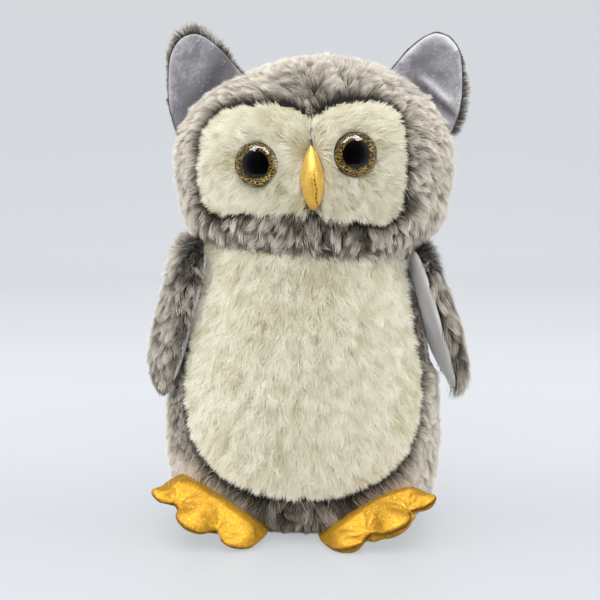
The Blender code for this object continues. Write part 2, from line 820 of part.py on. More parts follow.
def make_wing(side, forms):
    """A pile cloth outside and a velour inside round thin wadding, hung from the shoulder."""
    across, forwards, level = WING_PLACE_SHARES[side]
    root = (across * BODY_WIDTH / 2, forwards * BODY_DEPTH / 2, level * NECK_HEIGHT)
    facing = 0 if side == "right" else 180
    turn = turn_about("Z", facing + WING_TURNS[side]) @ turn_about("Y", -WING_SPLAYS[side])
    hinge = add_pivot("wing_hinge_" + side, root, turn)
    loop = smooth_chain(scaled(WING_SHARES, WING_WIDTH, WING_LENGTH), closed=True)
    axes = ((0, 1, 0), (0, 0, 1), (1, 0, 0))
    far = WING_LENGTH + CUT_OVERRUN
    half = SEAM_GAP / 2
    inside = block("wing_inside_" + side, (-far, -far, -far), (half, far, far), hinge)
    outside = block("wing_outside_" + side, (-half, -far, -far), (far, far, far), hinge)

    def layer(name, edge, outer, inner):
        """The wing's cushion with its edge and both faces drawn in by three walls."""
        rises = (WING_OUTER_RISE - outer, inner - WING_INNER_RISE)
        return lie_along(cushion(name, offset_loop(loop, -edge), middle_of(loop), *rises), axes)

    cover = add_piece("wing_cover_" + side, layer("wing", 0, 0, 0), "grey_pile", hinge)
    hollow = add_cutter("wing_cover_room_" + side, layer("room", WING_PILE, WING_PILE, 0), hinge)
    cut(cover, inside, hollow, forms["body_clearance"])
    lining = add_piece("wing_lining_" + side, layer("wing", 0, 0, 0), "silver_velour", hinge)
    hollow = add_cutter("wing_lining_room_" + side, layer("room", VELOUR_CLOTH, 0, VELOUR_CLOTH), hinge)
    cut(lining, outside, hollow, forms["body_clearance"])
    edge = WING_PILE + FILL_EASE
    pad = layer("wadding", edge, edge, VELOUR_CLOTH + FILL_EASE)
    wadding = add_piece("wing_wadding_" + side, pad, "fibre_fill", hinge)
    cut(wadding, forms["body_clearance"])


def make_foot(side, forms):
    """A three-toed cushion of two lame pieces, cut to the body and hung from its upper rear edge."""
    sign = SIDES[side]
    across, forwards, level = FOOT_PLACE_SHARES[side]
    root = (across * BODY_WIDTH / 2, forwards * BODY_DEPTH / 2, level * NECK_HEIGHT)
    turn = (
        turn_about("Z", sign * FOOT_TURN)
        @ turn_about("Y", -sign * FOOT_ROLLS[side])
        @ turn_about("X", FOOT_PITCHES[side])
    )
    hinge = add_pivot("foot_hinge_" + side, root, turn)
    loop = smooth_chain(scaled(FOOT_SHARES, FOOT_WIDTH, FOOT_LENGTH, (0, -FOOT_TUCK)), closed=True)
    axes = ((-1, 0, 0), (0, -1, 0), (0, 0, 1))
    far = FOOT_WIDTH + CUT_OVERRUN
    half = SEAM_GAP / 2
    under = block("foot_under_" + side, (-far, -far, -far), (far, far, half - FOOT_DROP), hinge)
    over = block("foot_over_" + side, (-far, -far, -half - FOOT_DROP), (far, far, far), hinge)
    clearance = forms["body_clearance"]
    upwards = [-angle for angle in FOOT_SWINGS]
    rooms = add_swing_rooms("foot_room_" + side, clearance, root, turn, "X", upwards)

    def layer(name, wall):
        """The foot's cushion drawn in all round by a wall."""
        rises = (FOOT_TOP_RISE - wall, wall - FOOT_SOLE_RISE)
        mesh = lie_along(cushion(name, offset_loop(loop, -wall), middle_of(loop), *rises), axes)
        mesh.transform(Matrix.Translation((0, 0, -FOOT_DROP)))
        return mesh

    hollow = add_cutter("foot_hollow_" + side, layer("hollow", LAME_CLOTH), hinge)
    for name, other_half in (("foot_top_" + side, under), ("foot_sole_" + side, over)):
        cloth = add_piece(name, layer("foot", 0), "gold_lame", hinge)
        cut(cloth, other_half, hollow, clearance, *rooms)
    fill_mesh = layer("filling", LAME_CLOTH + FILL_EASE)
    filling = add_piece("foot_stuffing_" + side, fill_mesh, "fibre_fill", hinge)
    cut(filling, clearance, *rooms)


clear_scene()
PARTS = make_collection("plush_owl")
CUTTERS = make_collection("cutters")
FINISH = {name: make_finish(name, *values) for name, values in FINISHES.items()}

all_forms = make_forms()
all_planes = make_planes()
face_panels, head_filling = make_head(all_forms, all_planes)
for each_side in SIDES:
    make_eye(each_side, face_panels[each_side], head_filling)
make_beak(all_forms)
make_body(all_forms, all_planes)
for each_side in SIDES:
    make_ear(each_side, all_forms)
    make_wing(each_side, all_forms)
    make_foot(each_side, all_forms)
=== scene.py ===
import json
import math

import bpy
import numpy as np
from mathutils import Matrix, Vector
from mathutils.geometry import delaunay_2d_cdt
from mathutils.kdtree import KDTree

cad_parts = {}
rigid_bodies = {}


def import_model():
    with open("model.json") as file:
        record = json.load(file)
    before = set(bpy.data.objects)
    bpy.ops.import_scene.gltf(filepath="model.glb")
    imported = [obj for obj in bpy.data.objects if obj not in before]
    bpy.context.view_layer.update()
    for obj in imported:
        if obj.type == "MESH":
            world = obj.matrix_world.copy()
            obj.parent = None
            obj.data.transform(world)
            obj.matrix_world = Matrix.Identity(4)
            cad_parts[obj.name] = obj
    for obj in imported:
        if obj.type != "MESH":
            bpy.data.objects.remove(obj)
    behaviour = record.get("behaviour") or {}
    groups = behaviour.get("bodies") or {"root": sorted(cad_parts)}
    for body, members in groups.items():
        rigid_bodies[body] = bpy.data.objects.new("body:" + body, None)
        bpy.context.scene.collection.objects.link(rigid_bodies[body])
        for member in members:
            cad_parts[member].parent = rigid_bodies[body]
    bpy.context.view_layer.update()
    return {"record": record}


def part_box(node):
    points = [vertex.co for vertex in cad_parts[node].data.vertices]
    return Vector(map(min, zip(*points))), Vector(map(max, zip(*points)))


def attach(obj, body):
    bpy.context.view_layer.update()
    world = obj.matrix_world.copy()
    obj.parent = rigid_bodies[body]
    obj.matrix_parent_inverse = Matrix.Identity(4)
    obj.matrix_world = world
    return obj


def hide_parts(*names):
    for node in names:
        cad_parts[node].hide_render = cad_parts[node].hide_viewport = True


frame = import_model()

MM = 0.001
RNG = np.random.default_rng(20)

# %% [markdown]
# The toy is two stuffed bags, a body and a head, cut from flat cloth and rounded by their filling.
# Such a form could be sculpted, but rings are easier to keep true to the model: each ring gives a
# height, a half width, the depth in front and the depth behind, all in millimetres. Every cloth
# cover below follows the same rings, so no cover can drift away from its solid.

# %% Rings of the stuffed forms
BODY_RINGS = np.array([
    (-0.5, 52.5, 42.8, 44.2),
    (9.0, 73.0, 59.3, 59.3),
    (28.7, 80.8, 67.6, 64.9),
    (59.7, 83.2, 70.4, 66.9),
    (94.1, 81.6, 69.0, 66.2),
    (130.2, 75.4, 64.9, 62.8),
    (159.5, 68.1, 58.7, 58.0),
    (185.3, 62.3, 53.8, 53.8),
])
HEAD_RINGS = np.array([
    (158.7, 58.1, 50.3, 50.3),
    (170.9, 65.1, 57.1, 55.8),
    (180.9, 75.3, 64.6, 61.2),
    (196.4, 80.9, 68.7, 65.3),
    (216.4, 83.5, 70.0, 66.6),
    (237.5, 80.6, 68.0, 65.3),
    (257.5, 66.6, 57.1, 56.4),
    (271.5, 44.6, 38.8, 38.1),
    (280.2, 18.6, 16.0, 16.0),
    (282.6, 0.0, 0.0, 0.0),
])
HEAD_SHIFT = 6.5
HEAD_WIDTH = 167.0
HEAD_HEIGHT = 111.0
BODY_WIDTH = 164.0
NECK = 172.0
FACE_FRONT = -10
print(f"body {BODY_WIDTH:.0f} mm wide, head {HEAD_WIDTH:.0f} mm wide, neck at {NECK:.0f} mm")

# %% [markdown]
# Cream cloth is let into the grey: two lobes round the eyes and a long oval down the belly. Their
# seams are given by a few corners, as shares of the form's half width and of its height, because a
# seam on a pattern piece is also drawn through a few marks.

# %% Seams of the cream cloth
FACE_SEAMS = {
    "left": (
        (-0.018, 0.672), (-0.17, 0.738), (-0.40, 0.745), (-0.61, 0.710), (-0.735, 0.610),
        (-0.785, 0.430), (-0.745, 0.245), (-0.62, 0.180), (-0.36, 0.215), (-0.018, 0.218),
    ),
    "right": (
        (-0.018, 0.672), (0.11, 0.738), (0.26, 0.757), (0.44, 0.748), (0.565, 0.680), (0.605, 0.464),
        (0.590, 0.260), (0.525, 0.172), (0.40, 0.146), (0.21, 0.180), (-0.018, 0.218),
    ),
}
BELLY_SEAM = (
    (0.20, 1.10), (0.63, 1.05), (0.69, 0.90), (0.75, 0.75), (0.80, 0.62), (0.82, 0.49),
    (0.78, 0.37), (0.65, 0.27), (0.43, 0.205), (0.20, 0.175),
)

# %% [markdown]
# Ears, wings and feet are sewn on along one edge, and turn about it. Their places come from the
# model's own hinges, so that the dressed limb turns about the same line as its solid. The outlines
# are shares of each limb's width and length.

# %% Limb outlines and tilts
JOINTS = frame["record"]["behaviour"]["joints"]
HINGES = {joint["child"]: np.array(joint["pos_m"]) / MM for joint in JOINTS}
EAR_OUTLINE = (
    (-0.50, -0.03), (-0.44, 0.25), (-0.29, 0.54), (-0.03, 0.865), (0.13, 0.98), (0.29, 1.0), (0.425, 0.91),
    (0.495, 0.70), (0.515, 0.45), (0.51, 0.18), (0.49, -0.03), (0.25, 0.03), (0.0, 0.05), (-0.25, 0.03),
)
WING_OUTLINE = (
    (0.0, -0.008), (0.35, -0.02), (0.48, -0.112), (0.51, -0.335), (0.47, -0.60), (0.36, -0.83),
    (0.18, -0.965), (0.0, -1.0), (-0.18, -0.965), (-0.36, -0.83), (-0.47, -0.60), (-0.51, -0.335),
    (-0.48, -0.112), (-0.35, -0.02),
)
FOOT_OUTLINE = (
    (0.0, 0.0), (0.30, 0.0), (0.43, 0.18), (0.50, 0.48), (0.485, 0.74), (0.34, 0.88), (0.20, 0.80),
    (0.13, 0.94), (0.0, 1.0), (-0.13, 0.94), (-0.20, 0.80), (-0.34, 0.88), (-0.485, 0.74), (-0.50, 0.48),
    (-0.43, 0.18), (-0.30, 0.0),
)
SIDES = {"left": -1, "right": 1}
EAR_WIDTH = 53.0
EAR_LENGTH = 44.0
EAR_LEAN = 42
EAR_TURNS = {"left": 4, "right": 16}
WING_WIDTH = 45.5
WING_LENGTH = 91.0
WING_TURNS = {"left": 14, "right": 12}
WING_SPLAYS = {"left": 14, "right": 19}
FOOT_WIDTH = 73.5
FOOT_LENGTH = 61.0
FOOT_TUCK = -16.0
FOOT_TURN = 24
FOOT_ROLLS = {"left": 26, "right": 23}
FOOT_PITCHES = {"left": 13, "right": 3}
print(f"hinges: {', '.join(HINGES)}")

# %% [markdown]
# The eyes and the beak are set into the face where the photograph shows them. An eye is a seat and the
# degrees by which it is turned out.

# %% Places of the eyes and the beak
EYES = {
    "left": (np.array((-26.44, -60.34, 222.28)), -15),
    "right": (np.array((29.00, -62.84, 228.28)), 15),
}
EYE_RADIUS = 12.5
BEAK_TOP = 233.6
BEAK_FOOT = 196.2
BEAK_X = 5.0
print(f"eyes {2 * EYE_RADIUS:.0f} mm across, beak {BEAK_TOP - BEAK_FOOT:.1f} mm long")

# %% [markdown]
# A form is a grid of points: rows up the form, columns round it. A smooth curve through the rings'
# few values gives as many rows as are wanted, which keeps the stuffed look without any modifier.

# %% Smooth forms from rings


def spline(knots, values, at):
    """The natural cubic through (knots, values), with the second slopes M from
    h0 M0 + 2 (h0 + h1) M1 + h1 M2 = 6 (rise1 / h1 - rise0 / h0) and no bend at either end."""
    knots, values = np.asarray(knots, float), np.asarray(values, float)
    step = np.diff(knots)
    count = len(knots)
    system = np.eye(count)
    right = np.zeros(count)
    for i in range(1, count - 1):
        system[i, i - 1:i + 2] = step[i - 1], 2 * (step[i - 1] + step[i]), step[i]
        right[i] = 6 * ((values[i + 1] - values[i]) / step[i] - (values[i] - values[i - 1]) / step[i - 1])
    bend = np.linalg.solve(system, right)
    i = np.clip(np.searchsorted(knots, at) - 1, 0, count - 2)
    low, high, width = at - knots[i], knots[i + 1] - at, step[i]
    cubic = (bend[i] * high**3 + bend[i + 1] * low**3) / (6 * width)
    return (
        cubic
        + (values[i] / width - bend[i] * width / 6) * high
        + (values[i + 1] / width - bend[i + 1] * width / 6) * low
    )


def ring_form(rings, shift, rows, columns, inset=0.0):
    """P(s, a) = (shift + w(s) cos a, d(s, a) sin a, z(s)), with w, d and z splined along the
    profile's length s, then moved in along the normal by the inset."""
    reach = np.concatenate([[0], np.cumsum(np.hypot(*np.diff(rings[:, :2], axis=0).T))])
    along = np.linspace(0, reach[-1], rows)
    height, wide, front, back = (spline(reach, rings[:, k], along)[:, None] for k in range(4))
    angle = np.linspace(0, 2 * np.pi, columns)[None, :]
    depth = np.where(np.sin(angle) > 0, back, front)
    wide, depth = np.maximum(wide, 0.01), np.maximum(depth, 0.01)
    grid = np.stack([shift + wide * np.cos(angle), depth * np.sin(angle), height + 0 * angle], axis=-1)
    if inset:
        grid = grid - inset * grid_normals(grid, True)
    return grid


def grid_normals(grid, wraps):
    """n = dP/du x dP/dv by central differences, with the last column on the first where the grid closes."""
    down = np.gradient(grid, axis=0)
    across = np.gradient(grid, axis=1)
    if wraps:
        seam = (grid[:, 1] - grid[:, -2]) / 2
        across[:, 0] = seam
        across[:, -1] = seam
    normal = np.cross(across, down)
    length = np.linalg.norm(normal, axis=-1, keepdims=True)
    return normal / np.maximum(length, 1e-9)


# %% [markdown]
# A seam is a closed line, and the pile has to know on which side of it a strand stands, and how far
# from it. These helpers answer both for many points at once.

# %% Seam lines


def smooth_loop(corners, steps, closed=True):
    """Catmull-Rom: each stretch is half of 2p1 + (p2-p0)t + (2p0-5p1+4p2-p3)t^2 + (3p1-3p2+p3-p0)t^3."""
    p = np.asarray(corners, float)
    if closed:
        p0, p1, p2, p3 = np.roll(p, 1, 0), p, np.roll(p, -1, 0), np.roll(p, -2, 0)
    else:
        padded = np.vstack([p[:1], p, p[-1:]])
        p0, p1, p2, p3 = padded[:-3], padded[1:-2], padded[2:-1], padded[3:]
    t = (np.arange(steps) / steps)[None, :, None]
    p0, p1, p2, p3 = (q[:, None, :] for q in (p0, p1, p2, p3))
    curve = (
        2 * p1 + (p2 - p0) * t + (2 * p0 - 5 * p1 + 4 * p2 - p3) * t**2 + (3 * p1 - 3 * p2 + p3 - p0) * t**3
    ) / 2
    return curve.reshape(-1, p.shape[1])


def inside(loop, x, y):
    """Even-odd rule: a point is inside where a ray along +x crosses the loop an odd number of times."""
    odd = np.zeros(np.shape(x), bool)
    for (x0, y0), (x1, y1) in zip(loop, np.roll(loop, -1, 0)):
        if y0 == y1:
            continue
        odd ^= ((y0 > y) != (y1 > y)) & (x < (x1 - x0) * (y - y0) / (y1 - y0) + x0)
    return odd


def edge_away(loop, points):
    """How far points are from a loop in x and z, and the level direction from its nearest corner to each."""
    x, z = points[:, 0], points[:, 2]
    best = np.full(len(points), np.inf)
    nearest = np.zeros(len(points), int)
    for index, (x0, z0) in enumerate(loop):
        off = np.hypot(x - x0, z - z0)
        closer = off < best
        best[closer] = off[closer]
        nearest[closer] = index
    apart = np.stack([x - loop[nearest, 0], 0 * x, z - loop[nearest, 1]], axis=-1)
    return best, unit(apart)


def edge_distance(loop, x, y):
    """The least distance from points to the loop's own corners, which lie close together."""
    best = np.full(np.shape(x), np.inf)
    for x0, y0 in loop:
        best = np.minimum(best, np.hypot(x - x0, y - y0))
    return best


def seam_loop(shares, half_width, height, across, up, closed=False):
    """The seam through its corners: x = across + a w and z = up + b h for each pair of shares (a, b)."""
    return smooth_loop([(across + a * half_width, up + b * height) for a, b in shares], 6, closed)


def shrink_loop(loop, share):
    """A loop drawn in towards its middle: p = m + share (p - m)."""
    middle = loop.mean(axis=0)
    return middle + (loop - middle) * share


# %% [markdown]
# Nothing about a soft toy is quite even, so a smooth random field bends folds, pile and tone. A sum of
# sine waves in random directions is quick, has no grid to show, and is the same on every run.

# %% Uneven fields and turns


def waves(points, length, seed, count=10):
    """A smooth field in -1..1: a sum of sine waves of about one wavelength in random directions."""
    chance = np.random.default_rng(seed)
    ways = chance.normal(size=(count, 3))
    ways *= (2 * np.pi / length) / np.linalg.norm(ways, axis=1, keepdims=True)
    ways *= chance.uniform(0.7, 1.4, (count, 1))
    phase = chance.uniform(0, 2 * np.pi, count)
    return np.sin(points @ ways.T + phase).sum(axis=-1) / math.sqrt(count)


def turn_matrix(*turns):
    """The rotations about named axes, the first outermost, in degrees."""
    whole = Matrix.Identity(3)
    for axis, degrees in turns:
        whole = whole @ Matrix.Rotation(math.radians(degrees), 3, axis)
    return np.array(whole)


def unit(vectors):
    """v / |v|."""
    return vectors / np.maximum(np.linalg.norm(vectors, axis=-1, keepdims=True), 1e-9)


def wing_turn(side):
    """A wing's tilt: turned about the upright axis, then splayed out from the body."""
    return turn_matrix(("Z", (180 if side == "left" else 0) + WING_TURNS[side]), ("Y", -WING_SPLAYS[side]))


def ear_turn(side):
    """An ear's tilt: leaned out from the crown, then turned to face forwards."""
    return turn_matrix(("Y", SIDES[side] * EAR_LEAN), ("Z", -SIDES[side] * EAR_TURNS[side]))


def foot_turn(side):
    """A foot's tilt: turned out, rolled on its outer edge and tipped."""
    sign = SIDES[side]
    return turn_matrix(("Z", sign * FOOT_TURN), ("Y", -sign * FOOT_ROLLS[side]), ("X", FOOT_PITCHES[side]))


for side in SIDES:
    print(f"{side} foot points along {np.round(foot_turn(side) @ np.array((0, -1.0, 0)), 2)}")

# %% [markdown]
# A piece is one mesh that rides on one body of the model. Points stay in millimetres until the mesh is
# made, because the model's sizes are, and whole arrays are written at once, because a cover with
# 40,000 strands would take minutes point by point.

# %% From points to pieces


def mesh_piece(name, points, faces, material, body, uvs=None, normals=None):
    """A mesh object from points in millimetres and faces of one corner count, riding on a body."""
    faces = np.asarray(faces)
    mesh = bpy.data.meshes.new(name)
    mesh.vertices.add(len(points))
    mesh.vertices.foreach_set("co", (np.asarray(points, np.float32) * MM).ravel())
    mesh.loops.add(faces.size)
    mesh.loops.foreach_set("vertex_index", faces.ravel().astype(np.int32))
    mesh.polygons.add(len(faces))
    mesh.polygons.foreach_set("loop_start", np.arange(0, faces.size, faces.shape[1], dtype=np.int32))
    if uvs is not None:
        layer = mesh.uv_layers.new(name="OFBake")
        layer.uv.foreach_set("vector", np.asarray(uvs, np.float32)[faces.ravel()].ravel())
    mesh.update(calc_edges=True)
    mesh.validate()
    mesh.polygons.foreach_set("use_smooth", np.full(len(mesh.polygons), True))
    if normals is not None:
        mesh.normals_split_custom_set_from_vertices(normals.tolist())
    mesh.materials.append(material)
    piece = bpy.data.objects.new(name, mesh)
    bpy.context.scene.collection.objects.link(piece)
    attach(piece, body)
    print(f"{name}: {len(points)} points, {len(faces)} faces, on {body}")
    return piece


def mark_points(piece, name, values):
    """Writes one number from 0 to 1 a point for the piece's material to read."""
    layer = piece.data.attributes.new(name, "FLOAT", "POINT")
    layer.data.foreach_set("value", np.clip(values, 0, 1).ravel().astype(np.float32))


def outwards(points, faces):
    """The faces of a closed mesh, turned so that the sum of a . (b x c), its signed volume, is positive."""
    a, b, c = (points[faces[:, k]] for k in range(3))
    volume = (a * np.cross(b, c)).sum()
    if faces.shape[1] == 4:
        volume += (a * np.cross(c, points[faces[:, 3]])).sum()
    return faces if volume > 0 else faces[:, ::-1]


def grid_faces(rows, columns, keep=None):
    """Four corners of every cell of a grid, in order round it, or of the cells to keep."""
    first = np.arange(rows - 1)[:, None] * columns + np.arange(columns - 1)[None, :]
    quads = np.stack([first, first + 1, first + columns + 1, first + columns], axis=-1)
    return quads[keep] if keep is not None else quads.reshape(-1, 4)


def grid_piece(name, grid, material, body):
    """A closed grid as a piece, faces outwards."""
    points = grid.reshape(-1, 3)
    return mesh_piece(name, points, outwards(points, grid_faces(*grid.shape[:2])), material, body)


# %% [markdown]
# Pile stands on the cloth as evenly as grass on a lawn. Random points alone would clump and leave bald
# places, so each cell of the grid gets its fair share of points, spread by a sequence that keeps them
# apart.

# %% Points over a cloth
R2_STEPS = (0.7548777, 0.5698403)


def scatter(grid, normals, pitch, rng):
    """Points over a grid, one to pitch squared: in each cell (u, v) = start + k R2, modulo 1."""
    a, b, c, d = grid[:-1, :-1], grid[:-1, 1:], grid[1:, 1:], grid[1:, :-1]
    area = np.linalg.norm(np.cross(c - a, d - b), axis=-1) / 2
    count = np.floor(area / pitch**2 + rng.random(area.shape)).astype(int).ravel()
    cell = np.repeat(np.arange(count.size), count)
    order = np.arange(cell.size) - np.repeat(np.cumsum(count) - count, count)
    start = rng.random((count.size, 2))[cell]
    u, v = np.mod(start + np.outer(order + 1, R2_STEPS), 1).T[:, :, None]

    def between(field):
        """(1 - v) ((1 - u) A + u B) + v ((1 - u) D + u C) over the cell's corners."""
        corners = (field[:-1, :-1], field[:-1, 1:], field[1:, 1:], field[1:, :-1])
        fa, fb, fc, fd = (part.reshape(-1, 3)[cell] for part in corners)
        return (1 - v) * ((1 - u) * fa + u * fb) + v * ((1 - u) * fd + u * fc)

    return between(grid), unit(between(normals))


# %% [markdown]
# Every finish is worked out by nodes from Object coordinates, the piece's own map or a number on its
# points, so that it stays on the surface when the piece moves. A few short helpers make a node tree
# read like a sentence.

# %% Node helpers


def add(tree, kind, inputs=None, **settings):
    """A node with its settings, whose inputs are values or the sockets to link from."""
    node = tree.nodes.new(kind)
    for key, value in settings.items():
        setattr(node, key, value)
    for key, value in (inputs or {}).items():
        socket = node.inputs[key]
        if isinstance(value, bpy.types.NodeSocket):
            tree.links.new(value, socket)
        else:
            socket.default_value = value
    return node


def linear(red, green, blue):
    """An sRGB colour of 0..255 as linear light, c = ((s + 0.055) / 1.055)^2.4 above the toe."""
    shares = np.array((red, green, blue)) / 255
    light = np.where(shares <= 0.04045, shares / 12.92, ((shares + 0.055) / 1.055) ** 2.4)
    return (*light.tolist(), 1.0)


def ramp(tree, factor, stops):
    """A colour ramp from a socket: stops are (place, sRGB colour)."""
    node = add(tree, "ShaderNodeValToRGB", {"Fac": factor})
    elements = node.color_ramp.elements
    while len(elements) > 1:
        elements.remove(elements[-1])
    elements[0].position = stops[0][0]
    elements[0].color = linear(*stops[0][1])
    for place, colour in stops[1:]:
        elements.new(place).color = linear(*colour)
    return node.outputs["Color"]


def blend_colours(tree, factor, first, second):
    """One colour to another by a socket or a number; each colour is a socket or an sRGB triple."""
    mix = tree.nodes.new("ShaderNodeMix")
    mix.data_type = "RGBA"
    for slot, value in ((0, factor), (6, first), (7, second)):
        if isinstance(value, bpy.types.NodeSocket):
            tree.links.new(value, mix.inputs[slot])
        else:
            mix.inputs[slot].default_value = value if slot == 0 else linear(*value)
    return mix.outputs[2]


def calc(tree, operation, *values):
    """One step of arithmetic on numbers or sockets."""
    return add(tree, "ShaderNodeMath", dict(enumerate(values)), operation=operation).outputs[0]


def place_of(tree):
    """Object coordinates in metres."""
    return add(tree, "ShaderNodeTexCoord").outputs["Object"]


def noise(tree, place, scale, detail=3.0, roughness=0.55, distortion=0.0):
    """Layered noise, 0 to 1, with scale cells to the metre."""
    return add(
        tree,
        "ShaderNodeTexNoise",
        {"Vector": place, "Scale": scale, "Detail": detail, "Roughness": roughness, "Distortion": distortion},
    ).outputs["Fac"]


def bump(tree, height, distance, strength, normal=None):
    """Tilts the shading normal by a height in shares of a distance in metres."""
    inputs = {"Height": height, "Distance": distance, "Strength": strength}
    if normal is not None:
        inputs["Normal"] = normal
    return add(tree, "ShaderNodeBump", inputs).outputs["Normal"]


def new_material(name, **values):
    """A Principled material with plain values on the shader's own sockets."""
    material = bpy.data.materials.new(name)
    material.use_nodes = True
    tree = material.node_tree
    shader = tree.nodes["Principled BSDF"]
    for key, value in values.items():
        shader.inputs[key.replace("_", " ")].default_value = value
    return material, tree, shader


def paint(tree, shader, colour, normal=None):
    """Links a colour, and a normal if there is one, to the shader."""
    tree.links.new(colour, shader.inputs["Base Color"])
    if normal is not None:
        tree.links.new(normal, shader.inputs["Normal"])


# %% [markdown]
# An effect that several finishes share is built once, as a node group with named inputs and outputs,
# and each material sets its own values on it.

# %% Shared effects as node groups


def shade_group(name, inputs, outputs, build):
    """A node group of number sockets: inputs are names with their usual values, and build fills it."""
    group = bpy.data.node_groups.new(name, "ShaderNodeTree")
    for label, usual in inputs.items():
        socket = group.interface.new_socket(name=label, in_out="INPUT", socket_type="NodeSocketFloat")
        socket.default_value = usual
    for label in outputs:
        group.interface.new_socket(name=label, in_out="OUTPUT", socket_type="NodeSocketFloat")
    start = group.nodes.new("NodeGroupInput")
    end = group.nodes.new("NodeGroupOutput")
    for label, socket in build(group, start.outputs).items():
        group.links.new(socket, end.inputs[label])
    print(f"{name}: takes {', '.join(inputs)}; gives {', '.join(outputs)}")
    return group


def use_group(tree, group, **values):
    """A group's outputs in a material, with the material's own values on its inputs."""
    node = tree.nodes.new("ShaderNodeGroup")
    node.node_tree = group
    for label, value in values.items():
        node.inputs[label.replace("_", " ")].default_value = value
    return node.outputs


# %% [markdown]
# Cut pile is dark at its roots, where little light gets in, and bleached and bright at its tips. Each
# strand carries its own map: u is the tone drawn for the strand, v runs from root to tip. Two ramps
# along v, one for the darkest strands and one for the palest, are mixed by u, so that neighbours differ
# as dyed fibres do.

# %% Pile cloth, grey and cream


def pile_material(name, dark, light):
    """Cut pile: two ramps from root to tip, mixed by the strand's tone."""
    material, tree, shader = new_material(name, Roughness=0.8, Sheen_Weight=0.25, Sheen_Roughness=0.5)
    shader.inputs["Specular IOR Level"].default_value = 0.15
    place = add(tree, "ShaderNodeUVMap", uv_map="OFBake")
    split = add(tree, "ShaderNodeSeparateXYZ", {"Vector": place.outputs["UV"]})
    along = split.outputs["Y"]
    colour = blend_colours(tree, split.outputs["X"], ramp(tree, along, dark), ramp(tree, along, light))
    paint(tree, shader, colour)
    return material


GREY_PILE = pile_material(
    "grey_pile_cloth",
    ((0.0, (10, 9, 7)), (0.45, (34, 29, 23)), (0.75, (78, 70, 59)), (1.0, (150, 139, 124))),
    ((0.0, (34, 30, 24)), (0.30, (88, 78, 66)), (0.60, (200, 188, 170)), (1.0, (250, 243, 230))),
)
CREAM_PILE = pile_material(
    "cream_pile_cloth",
    ((0.0, (166, 156, 116)), (0.35, (196, 187, 146)), (0.8, (214, 206, 168)), (1.0, (228, 220, 188))),
    ((0.0, (214, 206, 172)), (0.35, (242, 236, 210)), (0.75, (251, 247, 228)), (1.0, (255, 253, 242))),
)

# %% [markdown]
# The pile could be a hair system, but hair is lost when the model is exported, so each strand is a real
# ribbon of three triangles: a pair of points at the root, a pair at the bend and the tip. It leaves the
# cloth at one angle, leans over to another, and its tip is drawn to the tip of its tuft, so the pile
# parts and shows its dark roots as the real cloth does. Its shading normals lean towards the cloth's
# own, which gives the even softness of fibres much finer than the ribbons.

# %% Growing the pile
TUFT_WAVES = (26.0, 10.0)
FLOOR_GAP = 0.4


def across_cloth(vectors, normals):
    """The part of each vector that lies along the cloth."""
    return vectors - (vectors * normals).sum(-1, keepdims=True) * normals


